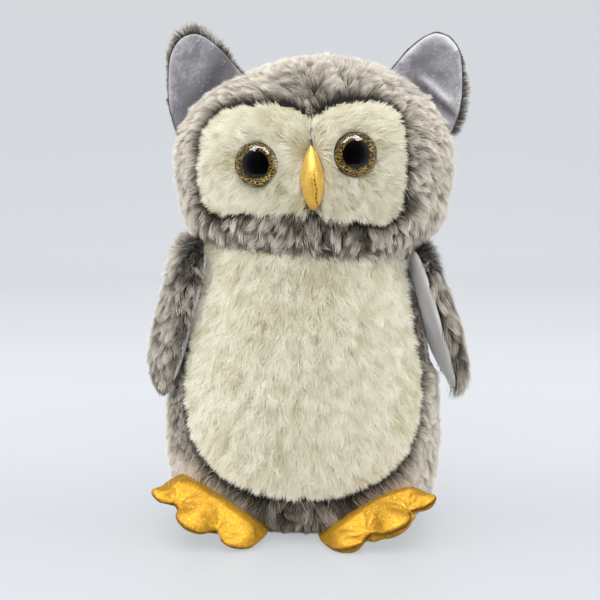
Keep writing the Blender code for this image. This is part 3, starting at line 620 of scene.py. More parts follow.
def grow(points, normals, flow, rng, length=13.0, rise=52.0, lay=16.0, width=0.5, tuft=2.6, pull=0.62,
         spread=0.30, swirl=11.0, curl=0.15, tone=0.5, mottle=0.20, contrast=0.24, soft=0.5,
         pitch=0.74, root=0.0):
    """Strands of two stretches: bend B = P + L/2 (cos r g + sin r n) for the cloth's direction g and
    normal n, tip T = B + L/2 (cos l g' + sin l n) at the lay angle l with g' curled, then
    T + pull (tuft's tip - T). Lengths are in millimetres and angles in degrees."""
    count = len(points)
    drift = rng.normal(size=(count, 3)) * spread * 0.5
    drift += np.stack([waves(points, swirl, seed) for seed in (1, 2, 3)], axis=-1) * spread
    flow = unit(across_cloth(flow, normals)) + drift
    flow = unit(across_cloth(flow, normals))
    middles = rng.permutation(count)[: max(int(count * (pitch / tuft) ** 2), 8)]
    tree = KDTree(len(middles))
    for index, place in enumerate(points[middles].tolist()):
        tree.insert(place, index)
    tree.balance()
    nearest = np.array([tree.find(place)[1] for place in points.tolist()])
    tuft_chance = rng.random(len(middles))[nearest]
    long = length * (0.78 + 0.22 * rng.random(count) + 0.22 * tuft_chance)
    up = np.radians(rise + 9 * rng.normal(size=count))[:, None]
    over = np.radians(lay + 10 * rng.normal(size=count))[:, None]
    half = (long / 2)[:, None]
    bent = unit(flow + curl * across_cloth(rng.normal(size=(count, 3)), normals))
    first = half * (np.cos(up) * flow + np.sin(up) * normals)
    second = half * (np.cos(over) * bent + np.sin(over) * normals)
    bend = points + first
    tip = bend + second
    pulls = (pull * (0.7 + 0.6 * tuft_chance))[:, None]
    aim = middles[nearest]
    tip = tip + (tip[aim] - tip) * pulls
    bend = bend + (bend[aim] - bend) * pulls * 0.35
    along = unit(tip - points)
    side = unit(np.cross(along, normals))
    outer_way = np.where(points[:, 1] < 8, -1, 1)
    turn = (rng.uniform(0, 0.9, count) * np.where(side[:, 1] * outer_way > 0, 1, -1))[:, None]
    side = side * np.cos(turn) + np.cross(along, side) * np.sin(turn)
    outward = unit(np.cross(side, along))
    thick = width * (0.75 + 0.5 * rng.random(count))[:, None]
    corners = np.stack([
        points - side * thick * 0.5,
        points + side * thick * 0.5,
        bend - side * thick * 0.42,
        bend + side * thick * 0.42,
        tip,
    ], axis=1)
    corners[:, :, 2] = np.maximum(corners[:, :, 2], FLOOR_GAP)
    patches = sum(0.6 * waves(points, length, seed) for seed, length in enumerate(TUFT_WAVES, 7))
    shade = tone + mottle * patches + contrast * (tuft_chance - 0.5) * 2
    shade = np.clip(shade + 0.10 * rng.normal(size=count), 0.03, 0.95)
    u = np.stack([shade, shade + 0.02, shade, shade + 0.02, shade + 0.01], axis=1)
    v = root + (1 - root) * np.broadcast_to((0.0, 0.0, 0.55, 0.55, 1.0), u.shape)
    lit = unit(normals * soft + outward * (1 - soft))
    return corners.reshape(-1, 3), np.stack([u, v], axis=-1).reshape(-1, 2), np.repeat(lit, 5, axis=0)


# %% [markdown]
# A cloth cover is the woven backing with all its strands on it, as one mesh that stands for one solid
# of the model.

# %% Covers of pile cloth
RIBBON = np.array(((0, 1, 3), (0, 3, 2), (2, 3, 4)))
COARSER = 1.0
PITCH = 0.74 * COARSER
FRONT_PITCH = 0.66 * COARSER
FINE_PITCH = 0.56 * COARSER
ROOT_DEPTH = 5.6


def pile_piece(name, strands, backing, material, body, *nodes, skin=0.02):
    """One cover: its backing, as dark as its skin, and all its strands, faces turned to the light."""
    corners, uvs, lit = strands
    back_points, back_faces = backing
    faces = (np.arange(0, len(corners), 5)[:, None, None] + RIBBON[None]).reshape(-1, 3)
    a, b, c = (corners[faces[:, k]] for k in range(3))
    wrong = (np.cross(b - a, c - a) * lit[faces[:, 0]]).sum(axis=-1) < 0
    faces[wrong] = faces[wrong][:, ::-1]
    split = np.concatenate([back_faces[:, (0, 1, 2)], back_faces[:, (0, 2, 3)]]) + len(corners)
    back_tone = 0.3 + 0.2 * RNG.random(len(back_points))
    back_depth = skin + 0.06 * RNG.random(len(back_points))
    back_uv = np.stack([back_tone, back_depth], -1)
    print(f"{name}: {len(faces) + len(split)} triangles")
    piece = mesh_piece(
        name,
        np.concatenate([corners, back_points]),
        np.concatenate([faces, split]),
        material,
        body,
        np.concatenate([uvs, back_uv]),
        normals=np.concatenate([lit, np.zeros_like(back_points)]),
    )
    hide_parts(*nodes)
    return piece


# %% [markdown]
# The head is one form under all its cloths. In the photograph its crown leans a little to one side.

# %% Head form and face seams
CROWN_LEAN = 6.5
CROWN_FOOT = 250
CROWN_RISE = 32


def leaned(grid):
    """The crown leans to the right: x + lean s^2 (3 - 2 s), with s from 0 at its foot to 1 at its top."""
    share = np.clip((grid[..., 2] - CROWN_FOOT) / CROWN_RISE, 0, 1)
    return grid + (CROWN_LEAN * share**2 * (3 - 2 * share))[..., None] * (1, 0, 0)


head = leaned(ring_form(HEAD_RINGS, HEAD_SHIFT, 60, 97, ROOT_DEPTH))
head_n = grid_normals(head, True)
FACE_LOOPS = {
    side: seam_loop(shares, HEAD_WIDTH / 2, HEAD_HEIGHT, HEAD_SHIFT, NECK)
    for side, shares in FACE_SEAMS.items()
}
BOTH_HALVES = (*BELLY_SEAM, *((-a, b) for a, b in reversed(BELLY_SEAM)))
BELLY_LOOP = seam_loop(BOTH_HALVES, BODY_WIDTH / 2, NECK, 0.0, 0.0, closed=True)
print(f"head form {head.shape[0]} rows by {head.shape[1]} columns")


def face_side(points):
    """0 for grey cloth, 1 for the left lobe, 2 for the right."""
    front = points[..., 1] < FACE_FRONT
    which = np.zeros(points.shape[:-1], int)
    for number, side in enumerate(("left", "right"), 1):
        which[front & inside(FACE_LOOPS[side], points[..., 0], points[..., 2])] = number
    return which


def clear_of_eyes(points, margin):
    """Which points lie outside both eyes and the beak by a margin."""
    free = np.ones(len(points), bool)
    for middle, turn in EYES.values():
        axis = np.array((math.sin(math.radians(turn)), -math.cos(math.radians(turn)), 0))
        apart = points - middle
        off = np.linalg.norm(apart - (apart @ axis)[:, None] * axis, axis=1)
        free &= (off > EYE_RADIUS + margin) | (points[:, 1] > 0)
    middle = (BEAK_TOP + BEAK_FOOT) / 2
    across = (points[:, 0] - BEAK_X) / 4.5
    along = (points[:, 2] - middle) / ((BEAK_TOP - BEAK_FOOT) / 2)
    free &= (across**2 + along**2 > 1) | (points[:, 1] > 0)
    return free


def from_eyes(points, reach):
    """A push away from the nearer eye, fading over a distance from its rim."""
    push = np.zeros_like(points)
    for middle, _ in EYES.values():
        apart = (points - middle) * (1, 0, 1)
        off = np.linalg.norm(apart, axis=1, keepdims=True)
        push += apart / off * np.clip(1 - (off - EYE_RADIUS) / reach, 0, 1) ** 2
    return push


def grid_cut(grid, keep):
    """The cells of a grid to keep, as points and faces."""
    centres = (grid[:-1, :-1] + grid[1:, 1:]) / 2
    faces = grid_faces(grid.shape[0], grid.shape[1], keep(centres))
    used, faces = np.unique(faces, return_inverse=True)
    return grid.reshape(-1, 3)[used], faces.reshape(-1, 4)


# %% [markdown]
# The cream pile fans out from between eye and beak, down the lobes and up over the brow. Beside a seam
# both cloths are held down, so their pile is short and stands up there, and the dark roots show between.
# The habits collect how each cloth's pile grows: tufts, pull, curl and unevenness.

# %% Face lobes
CREAM_HABIT = {
    "width": 0.40, "tuft": 2.8, "pull": 0.14, "spread": 0.40, "swirl": 9.0, "curl": 0.35,
    "mottle": 0.22, "contrast": 0.36, "soft": 0.80, "pitch": FINE_PITCH,
}
GREY_HABIT = {"width": 0.40, "tuft": 3.2, "pull": 0.48, "spread": 0.36, "curl": 0.38, "soft": 0.55}


def marbling(normals, rough=0.0):
    """The front's pile is parted by handling and marbled, the sides' lies smoother."""
    front = np.clip(-normals[:, 1] * 1.3 - 0.2, 0, 1)
    return {"mottle": 0.22 + 0.08 * front, "contrast": 0.34 + 0.14 * front + 0.3 * rough}


for number, side in enumerate(("left", "right"), 1):
    p, q = scatter(head, head_n, FINE_PITCH, RNG)
    off = edge_distance(FACE_LOOPS[side][:-6], p[:, 0], p[:, 2])
    chosen = (face_side(p) == number) & clear_of_eyes(p, -0.6) & (off > 2.6)
    p, q, off = p[chosen], q[chosen], off[chosen]
    eyed = np.clip(np.linalg.norm(from_eyes(p, 5.0), axis=1) * 1.4, 0, 1)
    beside = np.clip(np.abs(p[:, 0] - BEAK_X) / 9 - 0.1, 0, 1)
    above = np.clip((p[:, 2] - 227) / 8, -1, 1)
    around = unit((p - EYES[side][0]) * (1, 0, 1))
    fan = np.stack([SIDES[side] * 0.9 * beside, 0 * beside, 0.35 * above - 0.25 * beside], axis=-1)
    fan = fan + 0.35 * around * beside[:, None] + 0.5 * from_eyes(p, 5.0)
    low = np.exp(-((off / 4.5) ** 2))
    long = 9.8 - 3.4 * low - 4.6 * eyed
    strands = grow(p, q, fan, RNG, long, rise=44 + 24 * np.maximum(low, eyed),
                   lay=18 + 34 * low + 20 * eyed, tone=0.50, **CREAM_HABIT)
    backing = grid_cut(head, lambda c, n=number: face_side(c) == n)
    face = pile_piece("face_pile_" + side, strands, backing, CREAM_PILE, "body", "face_panel_" + side)

# %% [markdown]
# The grey pile leaves two short partings above the brow, lies away from them over the forehead, and
# falls more and more straight down towards the neck. The tone drawn for a strand carries painted light
# and shade: it grows with how far its cloth faces sideways or straight up, a painted light, and it is
# drawn darker beside the face seams, along the partings and under the chin, a painted shade.

# %% Grey head covers
PARTINGS = np.array((
    ((10.0, -58.0, 252.0), (4.0, -42.0, 274.0)),
    ((26.0, -58.0, 256.0), (25.0, -40.0, 276.0)),
))
NO_SEAM = 99
SEAM_BARE = 1.3


def head_flow(points):
    """Away from the nearer parting on the forehead, and more and more downwards with the distance from it."""
    best = np.full((len(points), 1), np.inf)
    flow = np.zeros_like(points)
    for foot, end in PARTINGS:
        rise = end - foot
        share = np.clip((points - foot) @ rise / (rise @ rise), 0, 1)[:, None]
        away = points - (foot + share * rise)
        off = np.linalg.norm(away, axis=1, keepdims=True)
        flow = np.where(off < best, away / np.maximum(off, 0.1), flow)
        best = np.minimum(best, off)
    down = np.clip((best - 35) / 70, 0, 1)
    return best[:, 0], flow * (1 - 0.75 * down) + np.array((0, 0, -1.0)) * down


for name, pitch in (("front", FRONT_PITCH), ("back", PITCH)):
    p, q = scatter(head, head_n, pitch, RNG)
    fields = [edge_away(FACE_LOOPS[side], p) for side in SIDES]
    edge = np.where(p[:, 1] < FACE_FRONT, np.minimum(fields[0][0], fields[1][0]), NO_SEAM)
    leave = np.where((fields[1][0] < fields[0][0])[:, None], fields[1][1], fields[0][1])
    in_half = (p[:, 1] < 0) == (name == "front")
    chosen = in_half & (p[:, 2] > NECK - 1) & (face_side(p) == 0) & (edge > SEAM_BARE)
    p, q, edge, leave = p[chosen], q[chosen], edge[chosen], leave[chosen]
    parted, flow = head_flow(p)
    seam = np.exp(-((edge / 4.5) ** 2))
    chin = (p[:, 1] < -20) * np.clip((212 - p[:, 2]) / 10, 0, 1)
    facing_side = np.clip(np.abs(q[:, 0]) * 1.3 + np.clip(q[:, 2] - 0.72, 0, 1) * 2, 0, 1)
    line = np.exp(-((edge / 2.5) ** 2))
    # Painted light where the cloth faces sideways or up; painted shade beside the face seams, under the chin
    # and along the partings.
    tone = 0.30 + 0.56 * facing_side - 0.42 * line - 0.14 * chin
    tone = tone - 0.36 * np.exp(-((parted / 4) ** 2))
    long = 10.5 - 2.5 * seam + 1.5 * chin
    strands = grow(p, q, unit(flow) + 1.7 * leave * seam[:, None], RNG, long, rise=58 + 14 * seam,
                   lay=26 + 20 * seam, tone=tone, pitch=pitch, **GREY_HABIT, **marbling(q, chin))

    def own(centres, front=(name == "front")):
        """The grey cells of this half of the head."""
        return (face_side(centres) == 0) & ((centres[..., 1] < 0) == front) & (centres[..., 2] > NECK - 4)

    backing = grid_cut(head, own)
    cover = pile_piece(f"head_{name}_pile", strands, backing, GREY_PILE, "body", f"head_{name}_cover")

# %% [markdown]
# The body's pile runs down and fans a little to the sides as it goes. Under a wing it is pressed flat,
# because the two cloths share the little room there, and above a foot it grows long and hangs over the
# foot's root. Both places are found by taking the points into the limb's own axes.

# %% Body form and the places that the limbs cover
body = ring_form(BODY_RINGS, 0.0, 50, 97, ROOT_DEPTH)
body_n = grid_normals(body, True)


def on_belly(points):
    """Which points lie inside the belly's seam."""
    return (points[..., 1] < FACE_FRONT) & inside(BELLY_LOOP, points[..., 0], points[..., 2])


def under_wing(points):
    """2 - (y / 24)^4 - ((z + 34) / 34)^4 in a wing's own axes, kept within 0 and 1."""
    cover = np.zeros(len(points))
    for side in SIDES:
        local = (points - HINGES["wing_" + side]) @ wing_turn(side)
        over = (np.abs(local[:, 1]) / 24) ** 4 + (np.abs(local[:, 2] + 34) / 34) ** 4
        cover = np.maximum(cover, np.clip(2 - over, 0, 1) * (local[:, 0] < 0))
    return cover


def foot_fringe(points):
    """exp(-(x / 34)^4 - ((z - 7) / 9)^2) in a foot's own axes, and which way that foot runs."""
    share = np.zeros(len(points))
    way = np.zeros_like(points)
    for side in SIDES:
        turn = foot_turn(side)
        local = (points - HINGES["foot_" + side]) @ turn
        near = np.exp(-((local[:, 0] / 34) ** 4) - ((local[:, 2] - 7) / 9) ** 2) * (points[:, 1] < 0)
        way = np.where((near > share)[:, None], turn @ np.array((0, -1.0, 0)), way)
        share = np.maximum(share, near)
    return share, way


def fan_of(points):
    """The pile's way (x / 90, 0, -1): down, and a little out to the sides."""
    return np.stack([points[:, 0] / 90, 0 * points[:, 0], -1 + 0 * points[:, 0]], axis=-1)


print(f"body form {body.shape[0]} rows by {body.shape[1]} columns")

# %% [markdown]
# The belly's long oval is the same cream cloth as the face. Only its lower seam is pressed short, since
# the upper one is hidden under the chin.

# %% Belly
p, q = scatter(body, body_n, FINE_PITCH, RNG)
edge = edge_distance(BELLY_LOOP, p[:, 0], p[:, 2])
chosen = on_belly(p) & (edge > 1.8) & (p[:, 2] < NECK + 3)
p, q, edge = p[chosen], q[chosen], edge[chosen]
low = np.exp(-((edge / 5) ** 2)) * (p[:, 2] < 150)
strands = grow(p, q, fan_of(p), RNG, 11.5 - 5 * low, rise=40 + 26 * low, lay=12 + 40 * low,
               tone=0.55, **CREAM_HABIT)
belly_pile = pile_piece("belly_pile", strands, grid_cut(body, on_belly), CREAM_PILE, "body", "belly_panel")

# %% [markdown]
# The grey covers of the body follow the same recipe as the head's. Low on the front the pile is in the
# toy's own shade, so its tone goes down there: a painted shade.

# %% Grey body covers
for name, pitch in (("front", FRONT_PITCH), ("back", PITCH * 1.03)):
    p, q = scatter(body, body_n, pitch, RNG)
    edge, leave = edge_away(BELLY_LOOP, p)
    edge = np.where(p[:, 1] < FACE_FRONT, edge, NO_SEAM)
    in_half = (p[:, 1] < 0) == (name == "front")
    chosen = in_half & ~on_belly(p) & (edge > SEAM_BARE) & (p[:, 2] < NECK + 3) & (p[:, 2] > 2)
    p, q, edge, leave = p[chosen], q[chosen], edge[chosen], leave[chosen]
    seam = np.exp(-((edge / 5) ** 2))
    flat = under_wing(p)
    foot = np.clip(1 - p[:, 2] / 18, 0, 1)
    shade = np.clip((34 - p[:, 2]) / 22, 0, 1) * (p[:, 1] < 0)
    # Painted light where the cloth faces sideways; painted shade beside the belly seam, low on the front and
    # under a wing.
    tone = 0.40 + 0.70 * np.abs(q[:, 0]) - 0.5 * seam - 0.7 * shade - 0.5 * flat
    fringe, over_foot = foot_fringe(p)
    long = 10.5 - 4.0 * foot - 2.5 * seam - 5.0 * flat + 10.0 * fringe
    way = fan_of(p) + 1.5 * leave * seam[:, None] + 1.2 * over_foot * fringe[:, None]
    rise = 58 + 14 * seam - 30 * flat - 34 * fringe
    lay = 26 + 20 * seam - 18 * flat - 20 * fringe
    strands = grow(p, q, way, RNG, long, rise=rise, lay=lay, tone=tone + 0.2 * fringe, pitch=pitch,
                   **GREY_HABIT, **marbling(q))

    def own(centres, front=(name == "front")):
        """The grey cells of this half of the body."""
        return ~on_belly(centres) & ((centres[..., 1] < 0) == front) & (centres[..., 2] < NECK + 4)

    backing = grid_cut(body, own)
    cover = pile_piece(f"body_{name}_pile", strands, backing, GREY_PILE, "body", f"body_{name}_cover")

# %% [markdown]
# A limb is a small cushion, sewn round its outline. Its surface is made of rings of that outline, drawn
# in to the middle and lifted as a quarter ellipse, so it is steep at the seam and flat on top, as a
# filled cushion is.

# %% Cushions


def cushion(loop, rise, rings, bend=None, crown=0.5):
    """Rows from the rim to the middle: lift = rise (1 - share^2)^crown over the outline drawn in by share."""
    middle = loop.mean(axis=0)
    share = np.cos(np.linspace(0, np.pi / 2, rings))[:, None, None]
    flat = middle + (np.vstack([loop, loop[:1]])[None] - middle) * share
    lift = rise * np.maximum(1 - share[..., 0] ** 2, 0) ** crown + 0 * flat[..., 0]
    if bend is not None:
        lift = lift + bend(flat)
    return np.concatenate([flat, lift[..., None]], axis=-1)


def placed(local, axes, turn, origin):
    """Local x, y and lift along three axes, then turned and moved to the hinge."""
    return local @ np.array(axes, float) @ turn.T + origin


def facing(grid, away_from):
    """The grid's normals, pointing away from a place."""
    normal = grid_normals(grid, True)
    if ((grid - away_from) * normal).sum() < 0:
        normal = -normal
    return normal


def double_cushion(loop, up, down, rings, bend=None, crown=0.5):
    """Both faces of a cushion as one closed set of points and faces, which meet at the rim."""
    top = cushion(loop, up, rings, bend, crown)
    under = cushion(loop, down, rings, bend, crown)
    faces = grid_faces(*top.shape[:2])
    both = np.concatenate([faces, faces[:, ::-1] + top.shape[0] * top.shape[1]])
    return np.concatenate([top.reshape(-1, 3), under.reshape(-1, 3)]), both


# %% [markdown]
# A wing hangs from the shoulder. Its pile spreads from the root and turns straight down lower on, with a
# darker parting along the middle, and covers the sewn edge at the shoulder.

# %% Wings
WING_AXES = ((0, 1, 0), (0, 0, 1), (1, 0, 0))
WING_TONES = {"left": 0.20, "right": 0.34}
WING_TIP_CUTS = {"left": 6.5, "right": 0.0}
for side in SIDES:
    turn = wing_turn(side)
    origin = HINGES["wing_" + side]
    loop = smooth_loop(np.array(WING_OUTLINE) * (WING_WIDTH, WING_LENGTH), 6)
    outer = placed(cushion(loop, 9.5, 16), WING_AXES, turn, origin)
    inner_n = turn @ np.array((1.0, 0, 0))
    outer_n = facing(outer, origin - 40 * inner_n)
    p, q = scatter(outer, outer_n, FRONT_PITCH, RNG)
    local = (p - origin) @ turn
    tip = np.clip((-local[:, 2] - WING_LENGTH + 22) / 22, 0, 1)
    top = np.clip(1 + local[:, 2] / 45, 0, 1)
    root = origin + turn @ np.array((0, 0, -4.0))
    down = np.clip((origin[2] - p[:, 2]) / 40, 0, 1)[:, None]
    hang = unit(p - root) * (1 - down) + down * (0, 0, -1.0)
    parting = np.exp(-(((p[:, 1] + 28 - 0.12 * (origin[2] - p[:, 2])) / 6) ** 2))
    # Painted light where the cloth faces sideways, painted shade along the parting.
    tone = WING_TONES[side] + 0.48 * np.abs(q[:, 0]) - 0.46 * parting
    shoulder = np.clip(1 + local[:, 2] / 20, 0, 1)
    long = 11.5 - 2.5 * top + 5.0 * shoulder - WING_TIP_CUTS[side] * tip
    rise = 50 - 10 * top + 26 * shoulder
    lay = 20 - 6 * top + 30 * shoulder
    strands = grow(p, q, hang, RNG, long, rise=rise, lay=lay, tone=tone, mottle=0.24, contrast=0.40,
                   pitch=FRONT_PITCH, **GREY_HABIT)
    wing = pile_piece(
        "wing_pile_" + side,
        strands,
        (outer.reshape(-1, 3), grid_faces(*outer.shape[:2])),
        GREY_PILE,
        "wing_" + side,
        "wing_cover_" + side,
        skin=0.3,
    )

# %% [markdown]
# An ear is two cloths sewn face to face and turned, a grey back and a smooth lining, and it cups
# forwards. The back's pile is short and stands up past the rim, longer on the side towards the crown.

# %% Ear backs
EAR_AXES = ((1, 0, 0), (0, 0, 1), (0, -1, 0))
EAR_CUP = 3.5


def ear_cup(flat):
    """Lift = cup (x / half width)^2."""
    return EAR_CUP * (flat[..., 0] / (EAR_WIDTH / 2)) ** 2


for side, sign in SIDES.items():
    turn = ear_turn(side)
    origin = HINGES["ear_" + side]
    loop = smooth_loop(np.array(EAR_OUTLINE) * (-sign * EAR_WIDTH, EAR_LENGTH), 6)
    outer = placed(cushion(loop, -5.5, 14, ear_cup), EAR_AXES, turn, origin)
    forward = turn @ np.array((0, -1.0, 0))
    outer_n = facing(outer, origin + 40 * forward + turn @ np.array((0, 0, 20.0)))
    p, q = scatter(outer, outer_n, FINE_PITCH, RNG)
    local = (p - origin) @ turn
    inner_side = np.clip(-sign * local[:, 0] / 26 + 0.2, 0, 1) * np.clip(local[:, 2] / 30, 0, 1)
    top_side = np.clip((local[:, 2] - 30) / 12, 0, 1)
    long = 2.2 + 6.0 * inner_side + 0.8 * top_side
    if side == "right":
        long = 1.3 + 6.5 * np.clip(sign * local[:, 0] / 20 + 0.2, 0, 1)
    upward = turn @ np.array((0, 0, 1.0))
    strands = grow(p, q, upward + 0.8 * forward, RNG, long, rise=50, lay=26, width=0.42, tuft=3.0,
                   pull=0.2, spread=0.5, curl=0.9, tone=0.58, mottle=0.2, contrast=0.3, soft=0.6,
                   pitch=FINE_PITCH, root=0.3)
    ear = pile_piece(
        "ear_pile_" + side,
        strands,
        (outer.reshape(-1, 3), grid_faces(*outer.shape[:2])),
        GREY_PILE,
        "ear_" + side,
        "ear_back_" + side,
        skin=0.5,
    )

# %% [markdown]
# The ear linings and the wings' insides are short velour with a silver sheen and a few specks of glitter.
# Velour shows where its nap was last stroked: patches that lie another way are lighter or darker. The
# patches and the specks are one shared effect. On the ears a number on the mesh's points carries painted
# light and shade: painted highlights along the rim and on a fold, painted shade by the head and in the
# hollows.

# %% Velour


def build_nap(group, takes):
    """Patches where the nap lies another way, and sparse bright specks."""
    place = place_of(group)
    broad = noise(group, place, takes["Patch Scale"], 4.0, 0.6, 0.6)
    close = noise(group, place, 420.0, 3.0, 0.6)
    patches = calc(group, "MULTIPLY_ADD", close, 0.6, broad)
    specks = add(group, "ShaderNodeTexVoronoi", {"Vector": place, "Scale": takes["Speck Scale"]})
    chance = add(group, "ShaderNodeSeparateColor", {"Color": specks.outputs["Color"]}).outputs["Red"]
    few = calc(group, "GREATER_THAN", chance, 0.975)
    small = calc(group, "LESS_THAN", specks.outputs["Distance"], 0.42)
    return {"Patches": patches, "Specks": calc(group, "MULTIPLY", few, small)}


NAP_SCALES = {"Patch Scale": 70.0, "Speck Scale": 1500.0}
NAP = shade_group("velour_nap", NAP_SCALES, ("Patches", "Specks"), build_nap)


def velour_material(name, deep, pale, edge, sheen):
    """Short velour: deep, pale and a bright painted highlight, by its nap patches and by the points' nap
    number, which holds painted light and shade.
    """
    material, tree, shader = new_material(name, Roughness=0.62, Sheen_Weight=sheen, Sheen_Roughness=0.4)
    nap = use_group(tree, NAP, Patch_Scale=70.0, Speck_Scale=1500.0)
    lie = add(tree, "ShaderNodeAttribute", attribute_name="nap").outputs["Fac"]
    uneven = calc(tree, "MULTIPLY_ADD", nap["Patches"], 0.4, lie)
    cloth = ramp(tree, uneven, ((0.25, deep), (0.70, pale), (1.0, edge)))
    glint = blend_colours(tree, nap["Specks"], cloth, (232, 214, 222))
    fine = noise(tree, place_of(tree), 1400.0, 2.0)
    paint(tree, shader, glint, bump(tree, fine, 0.0004, 0.35))
    return material


# The last colour of each velour is the painted highlight of a rim or a fold.
EAR_VELOUR = velour_material("ear_velour", (66, 64, 70), (120, 118, 124), (206, 204, 206), 0.22)
WING_VELOUR = velour_material("wing_velour", (216, 215, 214), (242, 241, 240), (250, 250, 249), 0.8)


# %% [markdown]
# The photograph shows a soft fold across the right ear and a hollow by the head in both. They are
# shaped in the mesh, and the lining's nap number carries painted light and shade on them: a painted
# highlight along the rim and on the fold, painted shade by the head and in the crease, so that they read
# from any side.

# %% Ear linings
NO_DEPTH = np.array(((1.0, 0, 0), (0, 1.0, 0)))
for side, sign in SIDES.items():
    turn = ear_turn(side)
    origin = HINGES["ear_" + side]
    loop = shrink_loop(smooth_loop(np.array(EAR_OUTLINE) * (-sign * EAR_WIDTH, EAR_LENGTH), 8), 0.98)

    def dished(flat, side=side, sign=sign):
        """The cup, with a fold up the right ear and a soft hollow by the head."""
        across, up = flat[..., 0] / (EAR_WIDTH / 2) * sign, flat[..., 1] / EAR_LENGTH
        lift = ear_cup(flat) - 1.6 * np.exp(-((up - 0.15) / 0.25) ** 2) * np.cos(across * 1.4)
        if side == "right":
            fold = np.exp(-(((up - 0.33) / 0.05) ** 2)) * np.exp(-(((across - 0.1) / 0.55) ** 4))
            crease = np.exp(-(((up - 0.22) / 0.07) ** 2)) * np.clip(across + 0.6, 0, 1)
            lift = lift + 1.6 * fold - 1.2 * crease
        return lift + 0.25 * waves(flat @ NO_DEPTH, 13.0, 31)

    def lining_light_and_shade(flat, side=side, sign=sign):
        """Painted light and shade, 0 dark to 1 pale: painted highlight along the rim and on the right ear's
        fold, painted shade by the head, in the crease and in a patch.
        """
        across, up = flat[:, 0] / (EAR_WIDTH / 2) * sign, flat[:, 1] / EAR_LENGTH
        off = edge_distance(loop, flat[:, 0], flat[:, 1])
        shade = 0.40 + 0.16 * np.exp(-off / 1.6)
        if side == "left":
            return shade - 0.30 * np.exp(-(((up - 0.26 + 0.12 * across) / 0.13) ** 2))
        window = np.exp(-(((across - 0.1) / 0.55) ** 4))
        shade = shade + 0.20 * np.exp(-(((up - 0.33) / 0.055) ** 2)) * window
        shade = shade - 0.26 * np.exp(-(((up - 0.21) / 0.06) ** 2)) * np.clip(across + 0.5, 0, 1)
        shade = shade - 0.20 * np.exp(-(((across + 0.52) / 0.2) ** 2 + ((up - 0.5) / 0.1) ** 2))
        return shade + 0.5 * np.exp(-off / 1.8) * (across < -0.2) * (up > 0.3)

    points, faces = double_cushion(loop, 1.6, -0.6, 18, dished, crown=0.35)
    # The nap number holds the painted light and shade of the lining.
    nap = lining_light_and_shade(points)
    points = placed(points, EAR_AXES, turn, origin)
    lining = mesh_piece("ear_velour_" + side, points, outwards(points, faces), EAR_VELOUR, "ear_" + side)
    mark_points(lining, "nap", nap)
    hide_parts("ear_lining_" + side)

# %% [markdown]
# The wings' linings are paler and a little wider than the outer cloth, so that they show along its
# edge, and they fall in long shallow folds.

# %% Wing linings
LONG_FOLDS = np.array(((1.0, 0, 0), (0, 0.35, 0)))


def rippled(flat):
    """Half a millimetre of waves, stretched along the wing."""
    return 0.5 * waves(flat @ LONG_FOLDS, 16.0, 41)


for side in SIDES:
    loop = smooth_loop(np.array(WING_OUTLINE) * (WING_WIDTH + 1.0, WING_LENGTH + 0.8), 8)
    points, faces = double_cushion(loop, 0.6, -5.2, 18, rippled)
    points = placed(points, WING_AXES, wing_turn(side), HINGES["wing_" + side])
    lining = mesh_piece("wing_velour_" + side, points, outwards(points, faces), WING_VELOUR, "wing_" + side)
    mark_points(lining, "nap", 0.4 + 0 * points[:, 0])
    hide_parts("wing_lining_" + side)

# %% [markdown]
# Gold lame is a crinkled foil on cloth. Its colour is painted deep in the crumples and bright on their
# crests, a painted shade and highlight, with a grain of fine painted glints. A plain yellow metal would
# mirror the room, so the metal is held back and the glints are drawn in the colour. The beak and the feet
# share the crumple and the grain.

# %% Gold lame
# Seam gold is the painted shade in a seam's groove.
SEAM_SHADE_GOLD = (92, 52, 10)
GLINT_GOLD = (250, 220, 130)


def build_foil(group, takes):
    """Crumple height, and the grain of glints."""
    place = place_of(group)
    wide = noise(group, place, takes["Crumple Scale"], 4.0, 0.62, 1.2)
    folds = add(group, "ShaderNodeTexVoronoi", {"Vector": place, "Scale": 260.0}, feature="DISTANCE_TO_EDGE")
    crumple = calc(group, "ADD", wide, folds.outputs["Distance"])
    grain = add(group, "ShaderNodeTexVoronoi", {"Vector": place, "Scale": takes["Grain Scale"]})
    chance = add(group, "ShaderNodeSeparateColor", {"Color": grain.outputs["Color"]}).outputs["Green"]
    return {"Crumple": crumple, "Grain": chance, "Wide": wide}


FOIL = shade_group(
    "lame_foil", {"Crumple Scale": 130.0, "Grain Scale": 1500.0}, ("Crumple", "Grain", "Wide"), build_foil
)


def lame_material(name, deep, body, bright, rough):
    """Foil cloth: painted shade deep in the crumples, painted highlights bright on their crests and in the
    glints, and the painted shade of seam gold in the sewn groove.
    """
    material, tree, shader = new_material(name, Metallic=0.6, Roughness=rough, Specular_IOR_Level=0.25)
    foil = use_group(tree, FOIL, Crumple_Scale=130.0, Grain_Scale=1500.0)
    # Painted shade in the crumples and painted highlight on their crests, from the crumple's own noise;
    # painted glints in the grain.
    cloth = ramp(tree, foil["Wide"], ((0.2, deep), (0.5, body), (0.8, bright)))
    glints = ramp(tree, foil["Grain"], ((0.0, deep), (0.5, body), (0.9, bright), (1.0, GLINT_GOLD)))
    colour = blend_colours(tree, 0.4, cloth, glints)
    # Painted shade: seam gold darkens the sewn groove where the fold number is high.
    fold = add(tree, "ShaderNodeAttribute", attribute_name="fold").outputs["Fac"]
    crumpled = bump(tree, foil["Crumple"], 0.0006, 0.25)
    grained = bump(tree, foil["Grain"], 0.0002, 0.25, crumpled)
    paint(tree, shader, blend_colours(tree, fold, colour, SEAM_SHADE_GOLD), grained)
    return material


FOOT_LAME = lame_material("foot_lame", (148, 104, 20), (172, 127, 28), (194, 152, 46), 0.6)
BEAK_LAME = lame_material("beak_lame", (206, 152, 46), (226, 180, 78), (242, 210, 122), 0.44)

